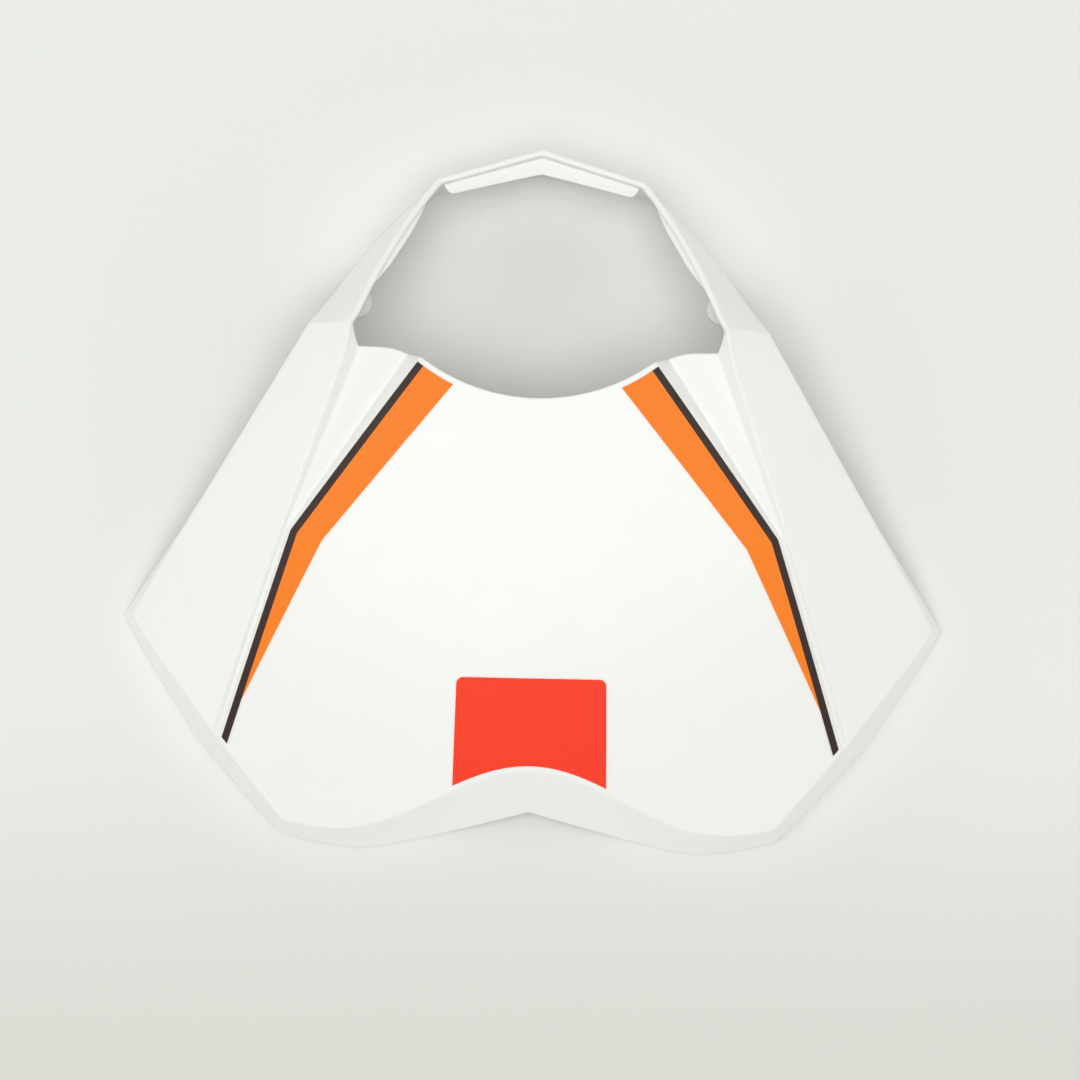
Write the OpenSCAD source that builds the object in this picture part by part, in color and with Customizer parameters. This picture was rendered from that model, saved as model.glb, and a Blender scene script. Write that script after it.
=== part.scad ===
// Headlight cowl of an off-road motorcycle, one thin moulding lying on its open back.
// X runs across the bike, Y from the lower lip to the lamp hoop and Z out of the front face.
// Plan sizes are measured from a datum in the middle of the number panel, and the finished
// part is then moved so that its origin lies under the middle of its outline.

/* [Number panel] */
// Height of the panel's outer face at the datum
panel_h = 54.5; // [46:0.5:62]
// Span from the datum over which the panel's rise and bows are given
panel_span = 100; // [92:1:110]
// Rise of the panel over that span towards the lamp
panel_rise = 12; // [6:0.5:18]
// Drop that the panel's bow along Y adds at that span
bow_y = 10; // [4:0.5:16]
// Drop that the panel's bow across X adds at that span
bow_x = 5.4; // [2:0.2:9]
// Radius of the scooped edge that clears the lamp glass
arc_r = 75; // [66:1:100]
// Lowest point of the scooped edge
arc_y = 54.2; // [48:0.2:60]
// Half width of the scooped edge, up to the peaks
peak_x = 44.8; // [38:0.2:50]
// Half width of the panel at the knee of its side edge
knee_x = 93.8; // [86:0.2:100]
// Place of the knee along Y
knee_y = 2.1; // [-12:0.1:14]

/* [Lower edge] */
// Place of the panel's lower edge on the centre line
chin_mid_y = -89.9; // [-96:0.1:-84]
// Place of the panel's lower edge in its two lobes
lobe_y = -115; // [-120:0.5:-110]
// Step back of the lower edge from the lobes to the corners
foot_rise = 2.8; // [1:0.1:5]
// Half width of the dip between the lobes
dip_x = 76; // [70:1:84]
// Half width of the panel at its lower corners
foot_x = 96.9; // [92:0.1:102]
// Radius of the rolled edge round the front face
roll_r = 1.6; // [0.8:0.1:2.4]
// Place of the lip's rim at its centre notch
notch_y = -108.8; // [-113:0.1:-104]
// Height of the lip's rim at its centre notch
notch_h = 8; // [2:0.5:12]
// Half width of the centre notch
notch_x = 67; // [56:1:78]
// Lowest place of the lip's rim
lip_y = -125.6; // [-132:0.2:-122]
// Step back of the lip's rim from its lowest place to the corners
lip_rise = 4; // [1:0.2:7]
// Outward lean of the side flanges for each millimetre of height
flange_lean = 0.33; // [0.2:0.01:0.45]

/* [Wings] */
// Height of the shoulder, where hoop and wing ridge meet
shoulder_h = 62; // [58:0.5:68]
// Half width over the shoulders
shoulder_x = 71.7; // [69:0.1:76]
// Place of the shoulders along Y
shoulder_y = 81.7; // [78:0.1:86]
// Half width at the top corners of the wings
wing_top_x = 89.3; // [85:0.1:95]
// Height at the top corners of the wings
wing_top_h = 43; // [38:0.5:48]
// Half width over the wing tips
wing_tip_x = 159.8; // [148:0.2:172]
// Place of the wing tips along Y
wing_tip_y = -33.2; // [-42:0.2:-24]
// Height of the wing tips
wing_tip_h = 14; // [11:0.5:18]
// Depth of the turned-in edge along the wing's upper side
wing_return = 8; // [5:0.5:11]
// Crown of the wing over its flat chord
wing_crown = 0.8; // [0:0.1:2]
// Set-back of the blunted wing tips
tip_blunt = 1.2; // [0.4:0.1:2]

/* [Side valley and groove] */
// Distance along the lower side edge from the corner to the groove
groove_at = 39.3; // [34:0.1:46]
// Width of the groove below the knee
groove_w = 3.7; // [2.6:0.1:4.4]
// Width of the groove where it runs out, measured along the lower edge
groove_end_w = 5.2; // [4:0.1:6.2]
// Depth of the groove below the knee
groove_d = 1.4; // [0.8:0.1:1.8]
// Depth of the valley at the lamp end
valley_d = 7; // [5:0.5:9]
// Plan width of the step from the panel down into the valley
step_w = 5.1; // [4:0.1:7]
// Lead of the step's foot past the peak, along Y
step_lead = 1.5; // [0.5:0.1:2.5]
// Set-in of the bevel's foot from the shoulder, at the valley's cut end
bevel_w = 3; // [2:0.1:4]
// Set-out of the wing ridge from the shoulder, beside the valley's cut end
ridge_out = 1.8; // [0:0.1:3]
// Distance of that point of the ridge below the shoulder along Y
ridge_lead = 11; // [8:0.5:13]
// Place of the valley's cut end along Y
valley_y = 72.8; // [70:0.1:75]

/* [Lamp hoop] */
// Half width at the hoop's corners
corner_x = 40.6; // [36:0.1:46]
// Place of the hoop's corners along Y
corner_y = 140.3; // [134:0.1:146]
// Height of the ridge at the hoop's corners
corner_h = 32; // [26:0.5:38]
// Place of the hoop's apex along Y
apex_y = 152.9; // [148:0.1:160]
// Height of the ridge at the apex
apex_h = 30; // [24:0.5:36]
// Bow of the hoop's ridge between shoulder and corner
ridge_bow = 2.6; // [0:0.1:4]
// Outward spread of the hoop's wall at its corners
corner_flare = 3; // [1:0.1:5]
// Set-back of the wall's foot along Y at its corners
corner_tuck = 0.8; // [0:0.1:2]
// Bow of the wall's foot between wing and corner
foot_bow = 4.4; // [0:0.1:6]
// Inward lean of the chin wall at the apex
chin_lean = 4.2; // [1:0.1:6]
// Depth of the upright rim at the foot of the hoop
rim_d = 4; // [3:0.5:6]
// Drop from the hoop's ridge to the ledge that seats the lamp
ledge_drop = 3.5; // [2:0.5:6]
// Width of the ledge at the apex
ledge_w = 5.5; // [4:0.5:8]
// Width of the ledge along the hoop's sides
ledge_side_w = 3; // [2:0.5:5]
// Thickness of the ledge
ledge_t = 2; // [1.5:0.1:3]

/* [Moulding] */
// Wall thickness of the moulding
wall = 2.5; // [2:0.1:3]
// Thickness of the ribs behind the panel
rib_t = 2; // [1.6:0.1:2.6]
// Depth of the ribs below the panel
rib_d = 9; // [6:0.5:14]

/* [Screw posts and lugs] */
// Distance between the screw posts across X
post_dx = 90; // [76:1:104]
// Distance between the screw posts along Y
post_dy = 70; // [60:1:80]
// Place of the middle of the four posts along Y
post_y = -10; // [-16:1:-4]
// Height of the posts' screw face above the rear rim
post_h = 26; // [20:1:32]
// Outer diameter of the screw posts
post_od = 9.5; // [8:0.5:12]
// Diameter of the screw hole in the posts
post_id = 4.2; // [3:0.1:5.2]
// Depth of the screw hole in the posts
post_bore = 16; // [10:1:20]
// Distance between the two lamp lugs across X
lug_dx = 144; // [142:1:147]
// Place of the lamp lugs along Y
lug_y = 92; // [90:0.5:94]
// Height of the lamp lugs' rear face above the rear rim
lug_h = 18; // [16:1:20]
// Thickness of the lamp lugs
lug_t = 3.5; // [2.5:0.5:5]
// Diameter over the lamp lugs' round ends
lug_od = 12; // [11:0.5:14]
// Diameter of the hole in the lamp lugs
lug_id = 5.5; // [4:0.1:6.5]

/* [Decals] */
// Thickness of the decal film
film_t = 0.3; // [0.2:0.05:0.6]
// Width of the dark line along the panel's side edges
line_w = 2.7; // [1.5:0.1:4]
// Distance that the dark line keeps from the fold
line_gap = 0.2; // [0.1:0.05:0.6]
// Half width of the clear field between the bands at the lamp end
band_top_x = 32.2; // [26:0.1:36]
// Half width of the clear field between the bands at their knee
band_knee_x = 81.7; // [74:0.1:86]
// Place of the bands' inner knee along Y
band_knee_y = -2; // [-10:0.5:6]
// Distance from the knee to the bands' lower points, measured along the fold
band_end = 69; // [50:1:80]
// Width of the patch at its upper edge
patch_w = 58; // [40:1:72]
// Extra width of the patch at its lower edge
patch_flare = 2; // [0:0.5:6]
// Place of the patch's upper edge along Y
patch_y = -53.5; // [-64:0.5:-44]
// Radius of the patch's upper corners
patch_r = 2; // [1:0.5:6]

/* [Hidden] */

$fn = 48;

// Numbers of cells in the shell's mesh, for one half of the part
panel_cols = 14;
corner_col = 11;
step_col = panel_cols + 1;
valley_cols = 3;
ridge_col = step_col + valley_cols + 1;
wing_cols = 7;
last_col = ridge_col + wing_cols;
side_rows = 8;
chin_rows = 5;
hoop_rows = side_rows + chin_rows;
upper_rows = 6;
lower_rows = 9;
knee_row = hoop_rows + 1 + upper_rows;
last_row = knee_row + lower_rows;
roll_rows = 4;

// Shares of the side edge at the first row, the knee and the row before the lower edge
first_v = 0.04;
knee_v = 0.45;
late_v = 0.965;
// Share of the wing's width at the column before its outer edge
late_w = 0.94;

// Height of the panel's outer face over a plan point
function panel_z(p) =
    let (u = p / panel_span)
    panel_h + panel_rise * u.y - bow_y * u.y * u.y - bow_x * u.x * u.x;
function on_panel(p) = [p.x, p.y, panel_z(p)];
function mix(a, b, t) = a + (b - a) * t;
function unit(v) = v / norm(v);
function flat(p) = [p.x, p.y];
function bump(t) = 4 * t * (1 - t);

// Named plan points of the right half
peak_y = arc_y + arc_r - sqrt(arc_r * arc_r - peak_x * peak_x);
peak = [peak_x, peak_y];
knee = [knee_x, knee_y];
foot = [foot_x, lobe_y + foot_rise];
tip = [wing_tip_x, wing_tip_y];
low_dir = unit(tip - foot);
low_out = [low_dir.y, -low_dir.x];
wing_top = [wing_top_x, shoulder_y, wing_top_h];
wing_tip = [wing_tip_x, wing_tip_y, wing_tip_h];
wing_dir = unit(tip - flat(wing_top));
wing_out = [-wing_dir.y, wing_dir.x];
tip_out = unit(low_out + wing_out);
shoulder = [shoulder_x, shoulder_y, shoulder_h];
line_end = foot + low_dir * groove_at;
upper_dir = unit(knee - peak);
upper_in = [upper_dir.y, -upper_dir.x];
lower_dir = unit(line_end - knee);
lower_in = [lower_dir.y, -lower_dir.x];

// Centre of the outline along Y, which becomes the origin
centre_y = (apex_y + lip_y) / 2;

// Rows of the main face, as shares of the way from the lamp end to the lower edge
function row_v(r) =
    r <= hoop_rows ? 0
    : r <= knee_row ? mix(first_v, knee_v, (r - hoop_rows - 1) / upper_rows)
    : r < last_row ? mix(knee_v, late_v, (r - knee_row) / (lower_rows - 1))
    : 1;
// Columns of the wing and the hoop, as shares of the way to the outer edge
function wing_w(c) = c == last_col ? 1 : late_w * max(0, c - ridge_col) / (wing_cols - 1);

// A point on a line that bends at the knee
function bent(a, b, c, v) =
    v <= knee_v ? mix(a, b, v / knee_v) : mix(b, c, (v - knee_v) / (1 - knee_v));

// The four edges of the panel patch
function arc_edge(s) =
    let (x = peak_x * s)
    [x, arc_y + arc_r - sqrt(arc_r * arc_r - x * x)];
function lobe_edge(x) =
    let (dip = x < dip_x ? 0.5 + 0.5 * cos(180 * x / dip_x) : 0)
    let (rise = x > dip_x ? foot_rise * pow((x - dip_x) / (foot_x - dip_x), 2) : 0)
    [x, lobe_y + (chin_mid_y - lobe_y) * dip + rise];
function low_edge(c) =
    c <= corner_col ? lobe_edge(foot_x * c / corner_col)
    : mix(foot, line_end, (c - corner_col) / (panel_cols - corner_col));
function mid_edge(v) = [0, mix(arc_y, chin_mid_y, v)];
function side_edge(v) = bent(peak, knee, line_end, v);

// Panel patch blended from its four edges, then lifted onto the crowned face
function panel_point(c, v) =
    let (s = c / panel_cols)
    let (across = mix(mid_edge(v), side_edge(v), s))
    let (down = mix(arc_edge(s), low_edge(c), v))
    let (corners = mix(mix(mid_edge(0), peak, s), mix(mid_edge(1), line_end, s), v))
    on_panel(across + down - corners);

// Valley and groove beside the panel: foot of the step, floor and foot of the bevel
knee_out = -lower_in;
ridge_knee = on_panel(knee + knee_out * groove_w);
ridge_end = on_panel(line_end + low_dir * groove_end_w);
// The ridge and the valley's outer side come down a little on the way from the shoulder
ridge_sink = 1;
ridge_nick = shoulder + [ridge_out, -ridge_lead, -ridge_sink];
// The groove's floor takes the middle third of its width
groove_floor = [0, 0, groove_d];
step_top = [peak_x + step_w, peak_y + step_lead, panel_z(peak) - valley_d];
step_knee = on_panel(knee + knee_out * groove_w / 3) - groove_floor;
step_end = on_panel(line_end + low_dir * groove_end_w / 3) - groove_floor;
bevel_top = [shoulder_x - bevel_w, valley_y, shoulder_h - ridge_sink - valley_d];
bevel_knee = on_panel(knee + knee_out * groove_w * 2 / 3) - groove_floor;
bevel_end = on_panel(line_end + low_dir * groove_end_w * 2 / 3) - groove_floor;

function ridge_line(v) =
    v <= first_v ? mix(shoulder, ridge_nick, v / first_v)
    : v <= knee_v ? mix(ridge_nick, ridge_knee, (v - first_v) / (knee_v - first_v))
    : mix(ridge_knee, ridge_end, (v - knee_v) / (1 - knee_v));
function valley_point(c, v) =
    let (w = (c - step_col) / valley_cols)
    let (top = mix(step_top, bevel_top, w))
    let (nose = w > 0 && w < 1 ? [0, valley_y - top.y, 0] : [0, 0, 0])
    bent(top + nose, mix(step_knee, bevel_knee, w), mix(step_end, bevel_end, w), v);
function wing_point(c, v) =
    let (w = wing_w(c))
    let (blunt = v == 1 && w == 1 ? tip_blunt : 0)
    mix(ridge_line(v), mix(wing_top, wing_tip, v), w)
        + [0, 0, wing_crown * bump(w) * bump(v)] - [tip_out.x, tip_out.y, 0] * blunt;

// Hoop: ridge round the lamp and foot of its wall, from the wing to the apex
hoop_corner = [corner_x, corner_y, corner_h];
hoop_apex = [0, apex_y, apex_h];
foot_corner = [corner_x + corner_flare, corner_y - corner_tuck, rim_d];
foot_apex = [0, apex_y - chin_lean, rim_d];
// Share of the hoop's side over which the wall's foot comes down to the rim, and its sweep
foot_fall = 0.6;
fall_bend = 3;
hoop_side_dir = unit(flat(hoop_corner) - flat(shoulder));
hoop_side_out = [hoop_side_dir.y, -hoop_side_dir.x, 0];
function hoop_ridge(g) =
    g <= side_rows
    ? mix(shoulder, hoop_corner, g / side_rows) + hoop_side_out * ridge_bow * bump(g / side_rows)
    : mix(hoop_corner, hoop_apex, (g - side_rows) / chin_rows);
function hoop_foot(g) =
    let (t = g / side_rows)
    let (h = rim_d + (wing_top_h - rim_d) * pow(max(0, 1 - t / foot_fall), fall_bend))
    let (plan = mix(flat(wing_top), flat(foot_corner), t) + flat(hoop_side_out) * foot_bow * bump(t))
    g <= side_rows ? [plan.x, plan.y, h]
    : mix(foot_corner, foot_apex, (g - side_rows) / chin_rows);
function hoop_point(r, c) =
    mix(hoop_ridge(hoop_rows - r), hoop_foot(hoop_rows - r), wing_w(c));

// Outer face before its edges are rolled, by row and column
function face_point(r, c) =
    r < hoop_rows ? hoop_point(r, max(c, ridge_col))
    : c <= panel_cols ? panel_point(c, row_v(r))
    : c < ridge_col ? valley_point(c, row_v(r))
    : wing_point(c, row_v(r));
face = [for (r = [0 : last_row]) [for (c = [0 : last_col]) face_point(r, c)]];

// Share of the notch's half width over which the lip's rim is lifted off the level
notch_part = 0.6;
// Hollowness of the notch's two sides, where 1 is straight
notch_bend = 1.2;
// Rear rim, under the lower edge by column and under the outer edge by row
function lip_edge(x) =
    let (notch = pow(max(0, 1 - x / notch_x), notch_bend))
    let (rise = lip_rise * max(0, x - notch_x) / (foot_x - notch_x))
    [x, lip_y + (notch_y - lip_y) * notch + rise, notch_h * max(0, 1 - x / (notch_x * notch_part))];
function flange_rim(e) =
    let (p = flat(e) + low_out * flange_lean * e.z)
    [p.x, p.y, 0];
tip_reach = flange_lean * wing_tip_h / (tip_out * low_out) - tip_blunt;
tip_rim_plan = flat(wing_tip) + tip_out * tip_reach;
tip_rim = [tip_rim_plan.x, tip_rim_plan.y, 0];
function lower_rim(c) =
    let (e = face[last_row][c])
    c < corner_col ? lip_edge(e.x)
    : c == corner_col ? mix(lip_edge(e.x), flange_rim(e), 0.5)
    : c < last_col ? flange_rim(e)
    : tip_rim;
// Outward lean of the wing's turned-in edge, and how late it gives way to the flange's lean
return_lean = 0.1;
lean_bend = 4;
level_bend = 3;
function outer_rim(r) =
    let (e = face[r][last_col])
    let (v = row_v(r))
    let (lean = mix(return_lean * wing_return, flange_lean * wing_tip_h, pow(v, lean_bend)))
    let (p = flat(e) + wing_out * lean)
    let (g = hoop_rows - r)
    let (d = mix(wing_return, rim_d, min(1, 2 * g / side_rows)))
    r < hoop_rows ? [e.x, e.y, e.z - d]
    : [p.x, p.y, (e.z - wing_return) * (1 - pow(v, level_bend))];

// The edge chain: along the lower edge to the tip, then up the outer edge to the apex
chain_len = last_col + last_row;
function chain_row(t) = t <= last_col ? last_row : last_row - (t - last_col);
function chain_col(t) = min(t, last_col);
rim = [for (t = [0 : chain_len])
    t <= last_col ? lower_rim(t) : outer_rim(chain_row(t))];

// Unit normals of the cells that meet at a point, from its neighbours
function is_cell(r, c) =
    r >= 0 && c >= 0 && r < last_row && c < last_col && (r >= hoop_rows || c >= ridge_col);
function down_of(r, c) = r == last_row ? rim[c] : face[r + 1][c];
function right_of(r, c) = c == last_col ? rim[last_col + last_row - r] : face[r][c + 1];
function cells_at(r, c) =
    let (p = face[r][c])
    let (low = r == last_row, far = c == last_col)
    concat(
        is_cell(r, c) || (low && !far) || (far && !low)
            ? [cross(down_of(r, c) - p, right_of(r, c) - p)] : [],
        is_cell(r, c - 1) || (low && c > 0)
            ? [cross(down_of(r, c) - p, p - face[r][c - 1])] : [],
        is_cell(r - 1, c) || (far && r > 0)
            ? [cross(p - face[r - 1][c], right_of(r, c) - p)] : [],
        is_cell(r - 1, c - 1)
            ? [cross(p - face[r - 1][c], p - face[r][c - 1])] : []);
function total(list, i = 0) = i >= len(list) ? [0, 0, 0] : list[i] + total(list, i + 1);
// Share of the full mitre that a fold's normal gets, and its least divisor at sharp tips
mitre_part = 0.8;
mitre_least = 0.6;
// On the centre plane the normal has no part across X
function normal_at(r, c) =
    let (units = [for (n = cells_at(r, c)) unit(n)])
    let (s = total(units))
    let (n = unit(c == 0 || r == 0 ? [0, s.y, s.z] : s))
    let (least = min([for (u = units) u * n]))
    n / max(mitre_least, mix(1, least, mitre_part));
function has_point(r, c) = r >= hoop_rows || c >= ridge_col;
normals = [for (r = [0 : last_row]) [for (c = [0 : last_col])
    has_point(r, c) ? normal_at(r, c) : [0, 0, 1]]];
function sunk_face(depth) =
    [for (r = [0 : last_row]) [for (c = [0 : last_col]) face[r][c] - normals[r][c] * depth]];
// The sunk rim slides along its flange until it is level with the outer rim
function sunk_rim(sunk) =
    [for (t = [0 : chain_len])
        let (e = face[chain_row(t)][chain_col(t)])
        let (s = sunk[chain_row(t)][chain_col(t)])
        s + (rim[t] - e) * ((rim[t].z - s.z) / (rim[t].z - e.z))];

// Skins: face with its edge drawn back for the roll, then the rows of the roll and the rim
function drawn_back(g, r, c, radius) =
    let (p = g[r][c])
    r == last_row && c == last_col ? p + unit(g[r - 1][c - 1] - p) * radius
    : r == last_row ? p + unit(g[r - 1][c] - p) * radius
    : c == last_col ? p + unit(g[r][c - 1] - p) * radius
    : p;
function rolled(g, rims, t, k, radius) =
    let (r = chain_row(t), c = chain_col(t))
    let (a = drawn_back(g, r, c, radius))
    let (e = g[r][c])
    let (b = e + unit(rims[t] - e) * radius)
    let (u = k / (roll_rows - 1))
    k == roll_rows ? rims[t] : a * pow(1 - u, 2) + e * 2 * u * (1 - u) + b * u * u;
function skin(g, rims, radius) = concat(
    [for (r = [0 : last_row]) for (c = [0 : last_col]) drawn_back(g, r, c, radius)],
    [for (t = [0 : chain_len]) for (k = [1 : roll_rows]) rolled(g, rims, t, k, radius)]);

// Inner edge round the lamp opening, from the centre of the scoop to the apex
lamp_len = ridge_col + hoop_rows;
function lamp_row(t) = t <= ridge_col ? hoop_rows : hoop_rows - (t - ridge_col);
function lamp_col(t) = min(t, ridge_col);
function lamp_inside(t) =
    t <= ridge_col ? face[hoop_rows + 1][lamp_col(t)] : face[lamp_row(t)][ridge_col + 1];
// Middle row of the lamp edge, pushed out so that the edge is rounded
edge_round = 0.35;
function lamp_ring(sunk, thickness) =
    [for (t = [0 : lamp_len])
        let (a = face[lamp_row(t)][lamp_col(t)])
        let (b = sunk[lamp_row(t)][lamp_col(t)])
        let (p = (a + b) / 2 + unit(a - lamp_inside(t)) * thickness * edge_round)
        t == 0 || t == lamp_len ? [0, p.y, p.z] : p];

// Indices: outer skin, inner skin and lamp ring of the right half, then of the left half
grid_count = (last_row + 1) * (last_col + 1);
skin_count = grid_count + (chain_len + 1) * roll_rows;
half_count = 2 * skin_count + lamp_len + 1;
function grid_id(r, c) = r * (last_col + 1) + c;
function chain_id(t, k) =
    k == 0 ? grid_id(chain_row(t), chain_col(t)) : grid_count + t * roll_rows + k - 1;
// Quads of one skin as [index, on the centre plane] pairs
function cell_quads() =
    [for (r = [0 : last_row - 1]) for (c = [0 : last_col - 1]) if (is_cell(r, c))
        [for (q = [[r, c], [r, c + 1], [r + 1, c + 1], [r + 1, c]])
            [grid_id(q.x, q.y), q.y == 0 || q.x == 0]]];
function roll_quads() =
    [for (t = [0 : chain_len - 1]) for (k = [0 : roll_rows - 1])
        [for (q = [[t, k], [t + 1, k], [t + 1, k + 1], [t, k + 1]])
            [chain_id(q.x, q.y), q.x == 0 || q.x == chain_len]]];
function shifted(quads, by) = [for (q = quads) [for (p = q) [p.x + by, p.y]]];
function turned(quads) = [for (q = quads) [q[3], q[2], q[1], q[0]]];
function rim_quads() =
    [for (t = [0 : chain_len - 1])
        let (a = chain_id(t, roll_rows), b = chain_id(t + 1, roll_rows))
        let (first = t == 0, last = t == chain_len - 1)
        [[a, first], [b, last], [b + skin_count, last], [a + skin_count, first]]];
function lamp_quads() =
    [for (t = [0 : lamp_len - 1]) for (side = [0, 1])
        let (a = grid_id(lamp_row(t), lamp_col(t)) + side * skin_count)
        let (b = grid_id(lamp_row(t + 1), lamp_col(t + 1)) + side * skin_count)
        let (first = t == 0, last = t == lamp_len - 1)
        let (quad = [[b, last], [a, first], [2 * skin_count + t, first],
                     [2 * skin_count + t + 1, last]])
        side == 0 ? quad : [quad[3], quad[2], quad[1], quad[0]]];
function half_quads() = concat(
    cell_quads(), roll_quads(),
    turned(shifted(cell_quads(), skin_count)), turned(shifted(roll_quads(), skin_count)),
    rim_quads(), lamp_quads());
function mirrored(points) = [for (p = points) [-p.x, p.y, p.z]];
// Each quad becomes two triangles, in the left half with the points in reverse
function right_faces(quads) =
    [for (q = quads) for (f = [[0, 1, 2], [0, 2, 3]]) [for (i = f) q[i].x]];
function left_faces(quads, count) =
    [for (q = quads) for (f = [[2, 1, 0], [3, 2, 0]])
        [for (i = f) q[i].y ? q[i].x : q[i].x + count]];

// A closed slab between two grids of points of the same size
module slab(top, bottom) {
    n = len(top[0]);
    m = len(top);
    count = n * m;
    points = concat([for (row = top) for (p = row) p], [for (row = bottom) for (p = row) p]);
    quads = [for (i = [0 : m - 2]) for (j = [0 : n - 2])
        [i * n + j, i * n + j + 1, (i + 1) * n + j + 1, (i + 1) * n + j]];
    border = concat(
        [for (j = [0 : n - 2]) j], [for (i = [0 : m - 2]) i * n + n - 1],
        [for (j = [n - 1 : -1 : 1]) (m - 1) * n + j], [for (i = [m - 1 : -1 : 1]) i * n]);
    last = len(border) - 1;
    walls = [for (k = [0 : last])
        let (a = border[k], b = border[k == last ? 0 : k + 1])
        [b, a, a + count, b + count]];
    polyhedron(points = points, faces = concat(
        [for (q = quads) for (f = [[0, 1, 2], [0, 2, 3]]) [for (i = f) q[i]]],
        [for (q = quads) for (f = [[2, 1, 0], [3, 2, 0]]) [for (i = f) q[i] + count]],
        walls));
}
// Part of a grid over both halves, where a negative column is the mirrored one
function patch_of(g, rows, cols) =
    [for (r = rows) [for (c = cols)
        let (p = g[r][abs(c)])
        [c < 0 ? -p.x : p.x, p.y, p.z]]];
function lifted(g, by) = [for (row = g) [for (p = row) p + [0, 0, by]]];
function levelled(g, z) = [for (row = g) [for (p = row) [p.x, p.y, z]]];
module both_sides() {
    children();
    mirror([1, 0, 0]) children();
}

module place() {
    translate([0, -centre_y, 0]) children();
}

// Radius of the inner edge's roll
inner_r = 0.4;
module shell_skin() {
    inner = sunk_face(wall);
    half = concat(
        skin(face, rim, roll_r),
        skin(inner, sunk_rim(inner), inner_r),
        lamp_ring(inner, wall));
    quads = half_quads();
    polyhedron(
        points = concat(half, mirrored(half)),
        faces = concat(right_faces(quads), left_faces(quads, half_count)));
}

// Space under the middle of the wall, which trims whatever grows out of the rear face
module under_wall(rows, cols) {
    mid = patch_of(sunk_face(wall / 2), rows, cols);
    slab(mid, levelled(mid, 0));
}

// Screw posts with their ribs, as tall as the panel's space and trimmed to the wall
post_x = post_dx / 2;
post_rows = [post_y - post_dy / 2, post_y + post_dy / 2];
// Length of the ribs past the posts, and the spread of the posts' gussets
rib_past = 12;
gusset = 16;
rib_steps = 8;
function rib_low(x, y) = panel_z([x, y]) - rib_d;
module rib_along_y() {
    y0 = post_rows[0] - rib_past;
    y1 = post_rows[1] + rib_past;
    ys = [for (i = [0 : rib_steps]) mix(y0, y1, i / rib_steps)];
    translate([post_x - rib_t / 2, 0, 0]) rotate([90, 0, 90]) linear_extrude(rib_t) {
        polygon(concat([for (y = ys) [y, rib_low(post_x, y)]], [[y1, panel_h], [y0, panel_h]]));
        for (y = post_rows)
            polygon([[y, post_h + rib_t], [y + gusset, panel_h], [y - gusset, panel_h]]);
    }
}
module rib_along_x(y) {
    xs = [for (i = [0 : rib_steps]) mix(-post_x, post_x, i / rib_steps)];
    translate([0, y + rib_t / 2, 0]) rotate([90, 0, 0]) linear_extrude(rib_t)
        polygon(concat([for (x = xs) [x, rib_low(x, y)]],
                       [[post_x, panel_h + rib_d], [-post_x, panel_h + rib_d]]));
}
module rear_frame() {
    difference() {
        intersection() {
            union() {
                both_sides() rib_along_y();
                for (y = post_rows) rib_along_x(y);
                both_sides() for (y = post_rows)
                    translate([post_x, y, post_h]) cylinder(d = post_od, h = panel_h);
            }
            under_wall([hoop_rows : last_row - 2], [2 - panel_cols : panel_cols - 2]);
        }
        both_sides() for (y = post_rows)
            translate([post_x, y, post_h - 1]) cylinder(d = post_id, h = post_bore + 1);
    }
}

// Flat lugs inside the hoop's wall, just behind the shoulders: a round end on a strap
lug_place = [lug_dx / 2, lug_y, lug_h];
module lug_strap() {
    translate(lug_place - [0, lug_od / 2, 0]) cube([wing_tip_x - lug_dx / 2, lug_od, lug_t]);
}
module lamp_lugs() {
    both_sides() difference() {
        union() {
            translate(lug_place) cylinder(d = lug_od, h = lug_t);
            intersection() {
                lug_strap();
                under_wall([chin_rows + 1 : hoop_rows + 3], [ridge_col : last_col]);
            }
        }
        translate(lug_place - [0, 0, lug_t]) cylinder(d = lug_id, h = 3 * lug_t);
    }
}

// Ledge inside the hoop that seats the lamp's rim, from near one shoulder to the other
ledge_first = 2;
ledge_rise_rows = 2;
chin_dir = unit(flat(hoop_apex) - flat(hoop_corner));
chin_out = [chin_dir.y, -chin_dir.x, 0];
// Outward step of one millimetre off both walls that meet at the corner and at the apex
corner_out = (hoop_side_out + chin_out) / (1 + hoop_side_out * chin_out);
apex_out = [0, 1 / chin_out.y, 0];
function hoop_out(g) =
    g < side_rows ? hoop_side_out
    : g == side_rows ? corner_out
    : g < hoop_rows ? chin_out
    : apex_out;
// The ledge starts inside the wall, grows out of it over two rows and is widest at the apex
function ledge_width(g) =
    g < side_rows ? mix(-wall / 4, ledge_side_w, min(1, (g - ledge_first) / ledge_rise_rows))
    : mix(ledge_side_w, ledge_w, (g - side_rows) / chin_rows);
function ledge_row(g, side) =
    let (a = hoop_ridge(g), b = hoop_foot(g))
    let (face_at = mix(a, b, (ledge_drop + ledge_t / 2) / (a.z - b.z)))
    let (root = face_at - hoop_out(g) * wall / 2)
    let (nose = face_at - hoop_out(g) * (wall + ledge_width(g)))
    [for (e = [root, nose]) [side * e.x, e.y, a.z - ledge_drop]];
module lamp_ledge() {
    rows = concat(
        [for (g = [ledge_first : hoop_rows]) ledge_row(g, 1)],
        [for (g = [hoop_rows - 1 : -1 : ledge_first]) ledge_row(g, -1)]);
    slab(rows, lifted(rows, -ledge_t));
}

module cowl_shell() {
    color("#f4f5f1") place() {
        shell_skin();
        lamp_ledge();
        rear_frame();
        lamp_lugs();
    }
}

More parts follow.
